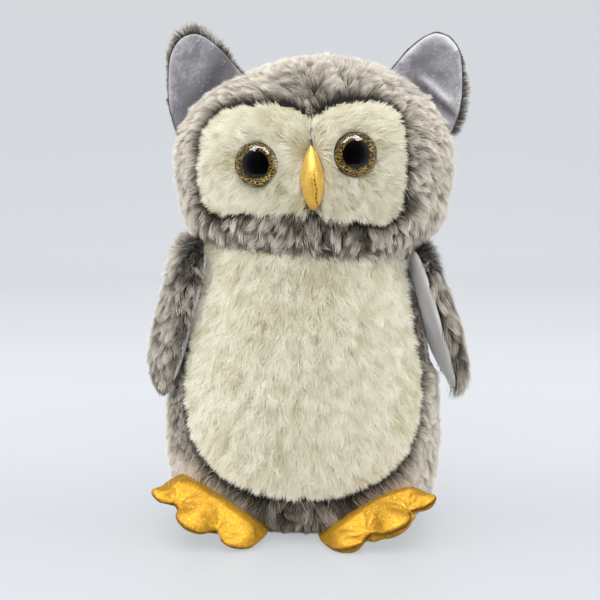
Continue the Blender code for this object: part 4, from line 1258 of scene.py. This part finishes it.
# %% [markdown]
# Inside every stuffed part is white polyester fibre: a tangle whose hollows between its locks are painted a
# little darker, a painted shade that follows its bump.

# %% Fibre filling
FIBRE, tree, shader = new_material("fibre", Roughness=0.9, Sheen_Weight=0.3)
tangle = noise(tree, place_of(tree), 220.0, 6.0, 0.7, 1.5)
white = ramp(tree, tangle, ((0.3, (222, 221, 218)), (0.7, (246, 245, 243))))
paint(tree, shader, white, bump(tree, tangle, 0.0015, 0.6))
print("finishes so far:", ", ".join(material.name for material in bpy.data.materials))

# %% [markdown]
# A foot is two lame sheets sewn round three toes, turned and filled. It starts as a flat pillow: an even
# lattice of points inside the outline, joined to triangles, twice, with one shared rim. An even lattice
# matters, because cloth bends only along its edges.

# %% A flat pillow to fill


def body_push(points, depth):
    """Moves points of the front half out of the body: (x, y) / q wherever q = |(x / w, y / d)| < 1."""
    z = np.clip(points[:, 2], 0, 170)
    reach = np.concatenate([[0], np.cumsum(np.hypot(*np.diff(BODY_RINGS[:, :2], axis=0).T))])
    along = np.interp(z, BODY_RINGS[:, 0], reach)
    wide, front = (spline(reach, BODY_RINGS[:, k], along) - depth for k in (1, 2))
    q = np.hypot(points[:, 0] / wide, points[:, 1] / front)
    out = np.maximum(1 / np.maximum(q, 0.05), 1)
    moved = points.copy()
    moved[:, 1] = np.where(points[:, 1] < 0, points[:, 1] * out, points[:, 1])
    moved[:, 0] = np.where(points[:, 1] < 0, points[:, 0] * out, points[:, 0])
    return moved


def pillow(outline, spacing, rise_up, rise_down):
    """Two sheets of one even lattice inside an outline, joined at its edge and a little apart inside."""
    edge = np.vstack([outline, outline[:1]])
    length = np.concatenate([[0], np.cumsum(np.linalg.norm(np.diff(edge, axis=0), axis=1))])
    count = int(length[-1] / spacing)
    stops = np.linspace(0, length[-1], count + 1)[:-1]
    rim = np.stack([np.interp(stops, length, edge[:, k]) for k in (0, 1)], -1)
    low, high = rim.min(axis=0), rim.max(axis=0)
    columns = np.arange(low[0], high[0], spacing)
    rows = np.arange(low[1], high[1], spacing * math.sqrt(3) / 2)
    lattice = np.concatenate([
        np.stack([columns + spacing / 2 * (k % 2), np.full(len(columns), row)], -1)
        for k, row in enumerate(rows)
    ])
    off = edge_distance(rim, lattice[:, 0], lattice[:, 1])
    lattice = lattice[inside(rim, lattice[:, 0], lattice[:, 1]) & (off > spacing * 0.7)]
    flat = np.vstack([rim, lattice])
    ring = [(i, (i + 1) % count) for i in range(count)]
    made = delaunay_2d_cdt([Vector(p) for p in flat.tolist()], ring, [], 1, 1e-5)
    flat = np.array([tuple(v) for v in made[0]])
    triangles = np.array([tuple(f) for f in made[2]])
    off = edge_distance(rim, flat[:, 0], flat[:, 1])
    on_rim = off < spacing * 0.05
    swell = np.sqrt(np.clip(off / 9.0, 0, 1))
    top = np.column_stack([flat, 0.4 * rise_up * swell])
    under = np.column_stack([flat, -0.4 * rise_down * swell])
    points = np.concatenate([top, under[~on_rim]])
    where = np.arange(len(flat))
    where[~on_rim] = len(flat) + np.arange((~on_rim).sum())
    faces = np.concatenate([triangles, where[triangles][:, ::-1]])
    return points, faces, np.flatnonzero(on_rim)


# %% [markdown]
# The pillow is filled by Blender's cloth with air pressure and no gravity, because folds that run into a
# seam are hard to draw and easy to simulate. The result is read off as points, so no modifier is left.
# A few rounds of smoothing take out the kinks that a coarse cloth keeps.

# %% Filling by cloth and pressure
CLOTH_SCALE = 0.01
CLOTH_FRAMES = 24


def inflate(points, faces, pinned, pressure, slack, reach):
    """Cloth cut larger by the slack and held at its seam moves P to P + step, with |step| < reach."""
    mesh = bpy.data.meshes.new("sewing")
    mesh.from_pydata((points * CLOTH_SCALE).tolist(), [], faces.tolist())
    pad = bpy.data.objects.new("sewing", mesh)
    bpy.context.scene.collection.objects.link(pad)
    seam = pad.vertex_groups.new(name="seam")
    seam.add(pinned.tolist(), 1.0, "REPLACE")
    cloth = pad.modifiers.new("cloth", "CLOTH")
    settings = cloth.settings
    settings.quality = 6
    settings.mass = 0.25
    settings.tension_stiffness = 12
    settings.compression_stiffness = 12
    settings.shear_stiffness = 6
    settings.bending_stiffness = 0.12
    settings.air_damping = 3
    settings.vertex_group_mass = "seam"
    settings.shrink_min = -slack
    settings.use_pressure = True
    settings.uniform_pressure_force = pressure
    settings.effector_weights.gravity = 0
    cloth.point_cache.frame_start = 1
    cloth.point_cache.frame_end = CLOTH_FRAMES
    scene = bpy.context.scene
    for number in range(1, CLOTH_FRAMES + 1):
        scene.frame_set(number)
    shape = pad.evaluated_get(bpy.context.evaluated_depsgraph_get()).data
    filled = np.empty(len(points) * 3)
    shape.vertices.foreach_get("co", filled)
    filled = filled.reshape(-1, 3) / CLOTH_SCALE
    bpy.data.objects.remove(pad)
    scene.frame_set(1)
    step = filled - points
    far = np.linalg.norm(step, axis=1, keepdims=True)
    return points + step * np.minimum(1, reach / np.maximum(far, 1e-6))


def relaxed(points, faces, held, rounds):
    """P + (mean of its neighbours - P) / 2 for each point that isn't held, several times over."""
    ends = np.concatenate([faces[:, [0, 1]], faces[:, [1, 2]], faces[:, [2, 0]]])
    count = np.bincount(ends[:, 0], minlength=len(points))[:, None]
    for _ in range(rounds):
        total = np.zeros_like(points)
        np.add.at(total, ends[:, 0], points[ends[:, 1]])
        step = total / np.maximum(count, 1) - points
        step[held] = 0
        points = points + 0.5 * step
    return points


def hull_gap(outline, middle, at):
    """How far a loop's convex hull lies beyond the loop in the direction of each point from the middle."""
    angle = np.linspace(-np.pi, np.pi, 181)
    ray = np.stack([np.cos(angle), np.sin(angle)])
    apart = outline - middle
    support = (apart @ ray).max(axis=0)
    facing_rays = np.maximum(np.cos(angle[:, None] - angle[None, :]), 1e-3)
    hull = (support[None, :] / facing_rays).min(axis=1)
    bearing = np.arctan2(apart[:, 1], apart[:, 0])
    order = np.argsort(bearing)
    own = np.interp(angle, bearing[order], np.hypot(*apart.T)[order], period=2 * np.pi)
    seen = at - middle
    return np.interp(np.arctan2(seen[:, 1], seen[:, 0]), angle, np.maximum(hull - own, 0))


# %% [markdown]
# Then it is shaped: the top is given its height and falls towards the root, the sole swells
# between the toes, small creases fan out from the two notches, and the seam sinks in round the toes. The
# foot is set on its hinge and pushed out of the body, so that it lies against the belly.

# %% Feet
FOOT_SPACING = 1.35 * COARSER
FOOT_HEIGHT = 11.5
SOLE_DEPTH = 5.0
EDGE_REACH = 9.0
SOLE_RISES = {"left": 0.5, "right": 3.0}
SOLE_BELLIES = {"left": 0.2, "right": 0.85}
FOOT_DROP = 13.5
FOOT_MOVES = {"left": (2.4, 0, 0), "right": (-3.0, 0, 0)}
FOOT_AXES = ((-1, 0, 0), (0, -1, 0), (0, 0, 1))
FOOT_MIDDLE = np.array((0.0, 16.0))
TOE_NOTCHES = ((14.5, 30.5), (-14.5, 30.5))
POINTED_TOE = ((0.39, 0.18), (0.43, 0.44), (0.44, 0.66), (0.457, 0.775), (0.425, 0.84), (0.32, 0.875))


def creases(flat, notch):
    """sin(7 t + 1.4 sin 3 t) exp(-r / 4) by the bearing t and the distance r from a notch, 0 at the notch."""
    apart = flat - notch
    off, angle = np.hypot(*apart.T), np.arctan2(*apart.T)
    return np.sin(angle * 7 + 1.4 * np.sin(angle * 3)) * np.exp(-off / 4.0) * np.clip(off / 2, 0, 1)


for side, sign in SIDES.items():
    turn = foot_turn(side)
    corners = np.array(FOOT_OUTLINE[:2] + POINTED_TOE + FOOT_OUTLINE[6:]) * (-sign, 1)
    corners = corners if sign < 0 else corners[::-1]
    outline = smooth_loop(corners * (FOOT_WIDTH, FOOT_LENGTH) + (0, FOOT_TUCK), 8)
    points, faces, rim = pillow(outline, FOOT_SPACING, 12.0, 8.0)
    flat = points[:, :2].copy()
    points = relaxed(inflate(points, faces, rim, 2.5, 0.10, 11.0), faces, rim, 4)
    top = points[:, 2] > 0
    off_rim = edge_distance(outline, flat[:, 0], flat[:, 1])
    round_edge = np.sqrt(1 - (1 - np.clip(off_rim / EDGE_REACH, 0, 1)) ** 2)
    points[top, 2] *= FOOT_HEIGHT / np.percentile(points[top, 2], 97)
    points[~top, 2] *= SOLE_DEPTH / np.percentile(-points[~top, 2], 97) * np.clip(off_rim[~top] / 6, 0.15, 1)
    points[top, 2] = np.maximum(points[top, 2], 4.0 * round_edge[top])
    points[top, 2] *= (0.15 + 0.85 * np.clip((flat[:, 1] + 6) / 24, 0, 1))[top]
    points[~top, 2] -= SOLE_RISES[side] * round_edge[~top]
    inward = unit(FOOT_MIDDLE - flat)
    toes = np.clip((flat[:, 1] - 8) / 10, 0, 1)
    groove = 1.3 * np.exp(-((off_rim / 0.9) ** 2)) * toes
    points[:, :2] += inward * groove[:, None]
    bulge = off_rim / 3.0 * np.exp(1 - off_rim / 3.0) * ~top
    points[:, :2] -= inward * (SOLE_BELLIES[side] * bulge * hull_gap(outline, FOOT_MIDDLE, flat))[:, None]
    held = np.concatenate([np.flatnonzero(top), rim])
    points = relaxed(points, faces, held, 6)
    for notch in TOE_NOTCHES:
        points[:, 2] += 1.5 * creases(flat, notch) * top
    seat = HINGES["foot_" + side] + FOOT_MOVES[side]
    shaped = body_push(placed(points - (0, 0, FOOT_DROP), FOOT_AXES, turn, seat), 3.0)
    shaped[:, 2] = np.maximum(shaped[:, 2], 0.3)
    foot = mesh_piece("foot_lame_" + side, shaped, outwards(shaped, faces), FOOT_LAME, "foot_" + side)
    # The fold number marks the groove round the toes for its painted shade.
    mark_points(foot, "fold", np.exp(-((off_rim / 1.0) ** 2)) * toes)
    rounder = foot.modifiers.new("rounded", "SUBSURF")
    rounder.levels = 1
    rounder.render_levels = 1
    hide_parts("foot_top_" + side, "foot_sole_" + side)
    core = (points - (*FOOT_MIDDLE, 0)) * (0.78, 0.74, 0.6) + (*FOOT_MIDDLE, -FOOT_DROP)
    core = body_push(placed(core, FOOT_AXES, turn, seat), 1.0)
    core[:, 2] = np.maximum(core[:, 2], 1.6)
    filling = mesh_piece("foot_fibre_" + side, core, outwards(core, faces), FIBRE, "foot_" + side)
    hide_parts("foot_stuffing_" + side)

# %% [markdown]
# The beak is a stuffed spindle with one seam down its front, which puckers the foil into short rays. It
# is one grid whose width and depth follow a few measured stations, with the seam pressed in along a
# slanting line.

# %% Beak
BEAK_WIDTH = 6.6
BEAK_DEPTH = 11.8
BEAK_BACK = 3.0
BEAK_SEAT = -69.0
BEAK_SHAPE = np.array([
    (0.0, 0.02, 0.02), (0.015, 0.20, 0.16), (0.05, 0.40, 0.34), (0.12, 0.62, 0.55), (0.24, 0.84, 0.80),
    (0.40, 0.99, 0.97), (0.50, 1.0, 1.0), (0.66, 0.87, 0.90), (0.82, 0.58, 0.64), (0.94, 0.27, 0.32),
    (1.0, 0.02, 0.02),
])


def spindle(share, rows, columns, seamed):
    """P(s, a): x = w(s) cos a |cos a|^0.15 and y = d(s) sin a in front and flatter behind, to which the
    seam adds exp(-t^2) pressed in and rays exp(-|t| / 4), with t the distance from its line."""
    level = np.linspace(0, 1, rows)[:, None]
    angle = np.linspace(0, 2 * np.pi, columns)[None, :]
    wide = share * BEAK_WIDTH * np.maximum(spline(BEAK_SHAPE[:, 0], BEAK_SHAPE[:, 1], level), 0.01)
    deep = share * BEAK_DEPTH * np.maximum(spline(BEAK_SHAPE[:, 0], BEAK_SHAPE[:, 2], level), 0.01)
    front = np.sin(angle) < 0
    across = wide * np.cos(angle) * np.abs(np.cos(angle)) ** 0.15
    y = BEAK_SEAT + np.where(front, deep * np.sin(angle), share * BEAK_BACK * np.sin(angle))
    line = 2.2 - 1.6 * level + 0.35 * np.sin(level * 23.0)
    off = (across - line) / 0.42
    reach = np.clip((0.66 - level) * 9, 0, 1) * np.clip(level * 12, 0, 1)
    teeth = 0.6 + 0.4 * np.sin(level * 150.0) * np.sin(level * 61.0)
    fold = np.exp(-off**2) * teeth * reach * front
    rays = 0.16 * np.exp(-np.abs(off) / 4) * np.sin(level * 120.0 + off) * reach * front
    lean = 1.6 * (0.5 - level)
    middle = BEAK_FOOT + (BEAK_TOP - BEAK_FOOT) / 2
    z = middle + share * (BEAK_TOP - BEAK_FOOT) * (level - 0.5) + 0 * angle
    if seamed:
        y = y + 1.1 * fold + rays
    return np.stack([BEAK_X + lean + across, y, z], axis=-1), fold


grid, fold = spindle(1.0, 150, 161, True)
beak = grid_piece("beak_lame", grid, BEAK_LAME, "body")
# The fold number marks the seam's crease for its painted shade.
mark_points(beak, "fold", fold * 1.1)
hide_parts("beak_cover")
beak_fibre = grid_piece("beak_fibre", spindle(0.72, 40, 49, False)[0], FIBRE, "body")
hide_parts("beak_stuffing")

# %% [markdown]
# A safety eye is a clear dome over a ring of gold glitter and a black disc, on a moulded black stem. The
# dome is a real lens, because it is the lens that swells the ring and carries the highlight. The
# glitter is flakes of Voronoi cells, each painted with its own brightness, from nearly black to pale
# gold: painted glints of flakes that catch the light, over the gold of the flakes themselves.

# %% Eye materials

lens_material, tree, shader = new_material("lens", Roughness=0.02, IOR=1.42)
shader.inputs["Transmission Weight"].default_value = 1.0
shader.inputs["Base Color"].default_value = (1, 1, 1, 1)

pupil_material, tree, shader = new_material("pupil", Roughness=0.25, Specular_IOR_Level=0.0)
specks = noise(tree, place_of(tree), 900.0)
paint(tree, shader, ramp(tree, specks, ((0.4, (1, 1, 2)), (0.8, (6, 6, 8)))))

glitter_material, tree, shader = new_material("glitter", Metallic=0.2, Roughness=0.5, Specular_IOR_Level=0.1)
flakes = add(tree, "ShaderNodeTexVoronoi", {"Vector": place_of(tree), "Scale": 2600.0})
lot = add(tree, "ShaderNodeSeparateColor", {"Color": flakes.outputs["Color"]})
# Painted glints: flakes from nearly black to pale gold, as if turned away from or catching the light.
FLAKE_TONES = (
    (0.0, (6, 4, 1)), (0.45, (40, 25, 2)), (0.7, (98, 66, 4)), (0.88, (214, 166, 20)), (1.0, (255, 236, 120)),
)
colour = ramp(tree, lot.outputs["Red"], FLAKE_TONES)
ring = add(tree, "ShaderNodeAttribute", attribute_name="ring").outputs["Fac"]
glitter = blend_colours(tree, ring, (10, 7, 3), colour)
paint(tree, shader, glitter, bump(tree, lot.outputs["Green"], 0.0003, 0.6))

# %% [markdown]
# All the parts of an eye are turned parts, so each is a profile of radius and height, spun round its
# axis. The ring fades towards its edges, where the dome bends the light away.

# %% Eyes
DOME_FOOT = 3.3
DOME_RISE = 6.7


def lathe(profile, rounds):
    """P(r, h, a) = (r cos a, r sin a, h) for a profile of radius and height, as points and faces."""
    angle = np.linspace(0, 2 * np.pi, rounds + 1)
    radius, height = np.hsplit(np.asarray(profile, float), 2)
    grid = np.stack([radius * np.cos(angle), radius * np.sin(angle), height + 0 * angle], axis=-1)
    return grid.reshape(-1, 3), grid_faces(*grid.shape[:2])


arc = np.linspace(0, np.pi / 2, 28)
dome = [(EYE_RADIUS * math.sin(a), DOME_FOOT + DOME_RISE * math.cos(a)) for a in arc]
EYE_PARTS = {
    "lens": (dome + [(12.5, 2.9), (12.3, 1.8), (0.001, 1.8)], lens_material, "clear_lens"),
    "iris": (
        [(6.9, 2.5)] + [(r, 2.5) for r in (7.4, 8.0, 8.8, 9.8, 10.8, 11.6)]
        + [(12.0, 2.3), (12.0, 2.0), (6.9, 2.0), (6.9, 2.5)],
        glitter_material,
        "gold_glitter",
    ),
    "pupil": (
        [(0.001, 2.6), (7.0, 2.6), (7.2, 2.45), (7.2, 2.0), (0.001, 2.0)],
        pupil_material,
        "black_plastic",
    ),
    "rim": (
        [(12.1, 2.2), (12.3, 2.2), (12.52, 2.6), (12.56, 3.3)]
        + [(12.7, 3.2), (12.7, 1.7), (12.1, 1.7), (12.1, 2.2)],
        pupil_material,
        "black_plastic",
    ),
}
for side, (seat, turned) in EYES.items():
    yaw = math.radians(turned)
    ahead = np.array((math.sin(yaw), -math.cos(yaw), 0))
    level_axis = np.array((math.cos(yaw), math.sin(yaw), 0))
    upright = np.array((0, 0, 1.0))
    for part, (profile, material, slot_name) in EYE_PARTS.items():
        points, faces = lathe(profile, 64)
        radius = np.hypot(points[:, 0], points[:, 1])
        points = seat + points @ np.array((level_axis, upright, ahead))
        piece = mesh_piece(f"eye_{part}_fine_{side}", points, outwards(points, faces), material, "body")
        if part == "iris":
            mark_points(piece, "ring", np.interp(radius, (7.0, 8.4, 11.0, 12.0), (0.2, 1.0, 1.0, 0.3)))
        if part != "rim":
            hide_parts(f"eye_{part}_{side}")

# %% [markdown]
# The fillings are loose fibre, lumpy and a little smaller than their covers. They meet in the open neck.
# They don't show in the photograph, but they are what the toy holds, and a cover that is opened shows
# them.

# %% Head and body fillings
FILL_DEPTH = 8.0
NECK_GAP = 0.3


def filling_piece(name, grid, material, node):
    """P + 0.5 w(P) n: a closed grid with half a millimetre of lumps along its normals."""
    lumps = 0.5 * waves(grid, 14.0, 51)[..., None] * grid_normals(grid, True)
    piece = grid_piece(name, grid + lumps, material, "body")
    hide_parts(node)


def closed_rows(grid, low, high):
    """The grid cut to a band of heights, with the mean of its first row below it and of its last above."""
    cut = grid.copy()
    cut[..., 2] = np.clip(cut[..., 2], low, high)
    first, last = (
        row * (0, 0, 1) + row[:, :-1].mean(axis=1, keepdims=True) * (1, 1, 0) for row in (cut[:1], cut[-1:])
    )
    return np.concatenate([first, cut, last])


inner_head = leaned(ring_form(HEAD_RINGS, HEAD_SHIFT, 60, 97, FILL_DEPTH))
inner_head = closed_rows(inner_head, NECK + NECK_GAP, 290)
filling_piece("head_fibre", inner_head, FIBRE, "head_stuffing")
inner_body = closed_rows(ring_form(BODY_RINGS, 0.0, 60, 97, FILL_DEPTH), 9.0, NECK - NECK_GAP)
filling_piece("body_fibre", inner_body, FIBRE, "body_stuffing")

# %% [markdown]
# Plastic pellets in a plain woven bag weigh the toy down, so that it stands on its base. The weave is a
# fine checker with a little height.

# %% Bag of pellets
BAG, tree, shader = new_material("woven_bag", Roughness=0.85)
weave = add(tree, "ShaderNodeTexChecker", {"Vector": place_of(tree), "Scale": 1600.0}).outputs["Fac"]
threads = ramp(tree, weave, ((0.0, (196, 195, 190)), (1.0, (222, 221, 216))))
paint(tree, shader, threads, bump(tree, weave, 0.0002, 0.4))
low, high = (np.array(corner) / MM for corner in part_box("pellet_pouch"))
centre, size = (low + high) / 2, (high - low) / 2
level = np.linspace(-np.pi / 2, np.pi / 2, 40)[:, None]
angle = np.linspace(0, 2 * np.pi, 81)[None, :]
bag = np.stack([
    centre[0] + 0.96 * size[0] * np.cos(level) ** 0.6 * np.cos(angle),
    centre[1] + 0.96 * size[1] * np.cos(level) ** 0.6 * np.sin(angle),
    centre[2] + 0.92 * size[2] * np.sin(level) + 0 * angle,
], axis=-1)
filling_piece("pellet_bag", bag, BAG, "pellet_pouch")

# %% [markdown]
# A wing holds only a thin sheet of wadding, a smaller cushion between its two cloths.

# %% Wing wadding
for side in SIDES:
    loop = shrink_loop(smooth_loop(np.array(WING_OUTLINE) * (WING_WIDTH + 0.5, WING_LENGTH), 6), 0.86)
    points, faces = double_cushion(loop, 6.0, 0.4, 12)
    points = placed(points + (0, 0, 1.2), WING_AXES, wing_turn(side), HINGES["wing_" + side])
    wadding = mesh_piece("wing_fibre_" + side, points, outwards(points, faces), FIBRE, "wing_" + side)
    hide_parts("wing_wadding_" + side)

# %% [markdown]
# The base is a flat oval of the grey cloth, its pile pressed flat by the toy's weight.

# %% Base
BASE_LIFT = 5.0
low, high = (np.array(corner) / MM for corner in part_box("base_panel"))
share = np.linspace(0.02, 1, 24)[:, None]
angle = np.linspace(0, 2 * np.pi, 97)[None, :]
base_grid = np.stack([
    share * high[0] * np.cos(angle), share * high[1] * np.sin(angle), BASE_LIFT + 0 * share * angle
], axis=-1)
base_n = np.broadcast_to((0.0, 0.0, -1.0), base_grid.shape)
p, q = scatter(base_grid, base_n, PITCH * 1.2, RNG)
strands = grow(p, q, p * (1, 1, 0) + (0, 30, 0), RNG, 8.0, rise=40, lay=4, tone=0.5, **GREY_HABIT)
backing = (base_grid.reshape(-1, 3), grid_faces(*base_grid.shape[:2]))
base = pile_piece("base_pile", strands, backing, GREY_PILE, "body", "base_panel")

# %% [markdown]
# The eyes' stems and washers keep the model's own shapes, since moulded parts are as plain as their
# solids. They only get the finish of satin plastic.

# %% Moulded plastic


def moulded(name, pale, deep, rough):
    """Moulded plastic: a faint mottle and a fine satin grain."""
    material, tree, shader = new_material(name, Roughness=rough)
    cloud = ramp(tree, noise(tree, place_of(tree), 300.0), ((0.3, deep), (0.7, pale)))
    paint(tree, shader, cloud, bump(tree, noise(tree, place_of(tree), 2500.0), 0.0001, 0.3))
    return material


BLACK_MOULDED = moulded("black_moulded", (16, 16, 18), (8, 8, 9), 0.3)
WHITE_MOULDED = moulded("white_moulded", (228, 228, 224), (214, 214, 209), 0.5)
for side in SIDES:
    bpy.data.objects["eye_stem_" + side].material_slots[0].material = BLACK_MOULDED
    bpy.data.objects["eye_washer_" + side].material_slots[0].material = WHITE_MOULDED
print("finishes:", ", ".join(material.name for material in bpy.data.materials))

# %% [markdown]
# The photograph was taken on a pale sweep of card: a floor that rises into a backdrop. A card that is
# lit evenly still looks uneven in a picture, so its tones along the depth are partly its own glow, seen
# only by the camera, in reflections and through the lenses, and never shed on the toy. The rest of it is
# plain card, which takes the toy's shadow.

# %% Backdrop
BACKDROP_TONES = (
    (0.15, (226, 230, 234)), (0.27, (222, 226, 230)), (0.36, (234, 238, 242)), (0.46, (240, 244, 248)),
    (0.53, (239, 243, 247)), (0.62, (232, 236, 240)), (0.78, (224, 228, 232)), (0.88, (230, 234, 238)),
)
backdrop_material, tree, shader = new_material("backdrop", Roughness=0.34)
shader.inputs["Base Color"].default_value = linear(204, 207, 210)
rays = add(tree, "ShaderNodeLightPath").outputs
seen = calc(tree, "MAXIMUM", rays["Is Camera Ray"], rays["Is Glossy Ray"])
seen = calc(tree, "MAXIMUM", seen, rays["Is Transmission Ray"])
share = calc(tree, "MULTIPLY", seen, 0.6)
depth = add(tree, "ShaderNodeSeparateXYZ", {"Vector": place_of(tree)}).outputs
DEPTH_RANGE = {"Value": depth["Y"], "From Min": -0.6, "From Max": 1.6}
far = add(tree, "ShaderNodeMapRange", DEPTH_RANGE).outputs["Result"]
glowing = add(tree, "ShaderNodeEmission", {"Color": ramp(tree, far, BACKDROP_TONES)})
both = add(tree, "ShaderNodeMixShader", {0: share, 1: shader.outputs[0], 2: glowing.outputs[0]})
tree.links.new(both.outputs[0], tree.nodes["Material Output"].inputs["Surface"])

# %% [markdown]
# The sweep is one strip of faces along a profile in y and z, in metres: flat, a quarter circle, upright.

# %% Sweep of card
BEND_START = 1.2
BEND_RADIUS = 0.8
HALF_WIDTH = 3.0
bend = [
    (BEND_START + BEND_RADIUS * math.sin(a), BEND_RADIUS - BEND_RADIUS * math.cos(a))
    for a in np.linspace(0.1, np.pi / 2, 14)
]
profile = [(-0.4, 0.0), (BEND_START, 0.0), *bend, (BEND_START + BEND_RADIUS, 3.0)]
backdrop_mesh = bpy.data.meshes.new("backdrop")
backdrop_mesh.from_pydata(
    [(x, y, z) for y, z in profile for x in (-HALF_WIDTH, HALF_WIDTH)],
    [],
    [(2 * i, 2 * i + 1, 2 * i + 3, 2 * i + 2) for i in range(len(profile) - 1)],
)
for polygon in backdrop_mesh.polygons:
    polygon.use_smooth = True
backdrop_mesh.materials.append(backdrop_material)
backdrop = bpy.data.objects.new("backdrop", backdrop_mesh)
bpy.context.scene.collection.objects.link(backdrop)
print(f"sweep of {len(profile) - 1} faces, {2 * HALF_WIDTH:.0f} m wide")

# %% [markdown]
# The light is a large soft lamp in front and above, a weak one overhead, one from behind that keeps the
# back of the toy readable, and a fill at each side, the left one stronger as in the photograph. Two
# narrow lamps are seen only in reflections: they put the window-like highlight on each eye.

# %% Lamps


def area_light(name, place, target, size, power, size_y=None):
    """A square or oblong lamp of a size in metres and a power in watts, aimed at a target."""
    lamp = bpy.data.lights.new(name, "AREA")
    lamp.energy = power
    lamp.size = size
    if size_y:
        lamp.shape = "RECTANGLE"
        lamp.size_y = size_y
    holder = bpy.data.objects.new(name, lamp)
    holder.location = place
    aim = np.array(target) - np.array(place)
    holder.rotation_euler = Vector(aim).to_track_quat("-Z", "Y").to_euler()
    bpy.context.scene.collection.objects.link(holder)
    return holder


key = area_light("key", (0.0, -1.5, 1.0), (0, 0, 0.12), 1.2, 18.5)
key.visible_glossy = False
area_light("top", (0.0, -0.1, 1.7), (0, 0, 0.1), 1.2, 6)
back = area_light("back", (0.0, 0.9, 0.95), (0, 0, 0.15), 1.0, 3)
back.visible_glossy = False
FILLS = {"left": 5.5, "right": 3.5}
for side, sign in SIDES.items():
    fill = area_light("fill_" + side, (sign * 1.2, -0.35, 0.35), (0, 0, 0.15), 0.8, FILLS[side])
    fill.visible_glossy = False
    glint = area_light("glint_" + side, (sign * 0.30, -0.36, 1.0), (0, -0.06, 0.2), 0.36, 12, size_y=0.6)
    glint.visible_diffuse = False
    glint.visible_transmission = False

print("lamps:", ", ".join(f"{lamp.name} {lamp.energy:g} W" for lamp in bpy.data.lights))

# %% [markdown]
# The room round the table is pale beyond the toy and dim behind the camera, which keeps the pupils
# black, because a glossy pupil mirrors what lies behind the camera. The camera itself sees a plain pale
# wall past the card.

# %% Room
ROOM_TONES = ((0.0, (242, 245, 250)), (0.45, (226, 229, 234)), (0.75, (96, 97, 100)), (1.0, (46, 47, 49)))
world = bpy.data.worlds.new("studio")
world.use_nodes = True
tree = world.node_tree
way = add(tree, "ShaderNodeTexCoord").outputs["Generated"]
ahead = add(tree, "ShaderNodeVectorMath", {0: way, 1: (0, -1, 0)}, operation="DOT_PRODUCT").outputs["Value"]
room = ramp(tree, ahead, ROOM_TONES)
seen = add(tree, "ShaderNodeLightPath").outputs["Is Camera Ray"]
tree.links.new(blend_colours(tree, seen, room, (218, 222, 227)), tree.nodes["Background"].inputs["Color"])
tree.nodes["Background"].inputs["Strength"].default_value = 1.1
bpy.context.scene.world = world

# %% [markdown]
# The photograph looks slightly down, from about 1.2 m, with a long lens that keeps the toy's upright
# lines parallel.

# %% Camera
ELEVATION = math.radians(8)
DISTANCE = 1.2
AIM_X = -0.002
AIM_HEIGHT = 0.1352
LENS = 118.17
camera_data = bpy.data.cameras.new("camera")
camera_data.lens = LENS
camera_data.sensor_width = 36
camera = bpy.data.objects.new("camera", camera_data)
camera.location = (AIM_X, -DISTANCE * math.cos(ELEVATION), AIM_HEIGHT + DISTANCE * math.sin(ELEVATION))
camera.rotation_euler = (math.pi / 2 - ELEVATION, 0, 0)
bpy.context.scene.collection.objects.link(camera)
bpy.context.scene.camera = camera
bpy.context.scene.view_settings.view_transform = "Standard"
print(f"camera at {tuple(round(value, 3) for value in camera.location)}, {LENS:.0f} mm lens")
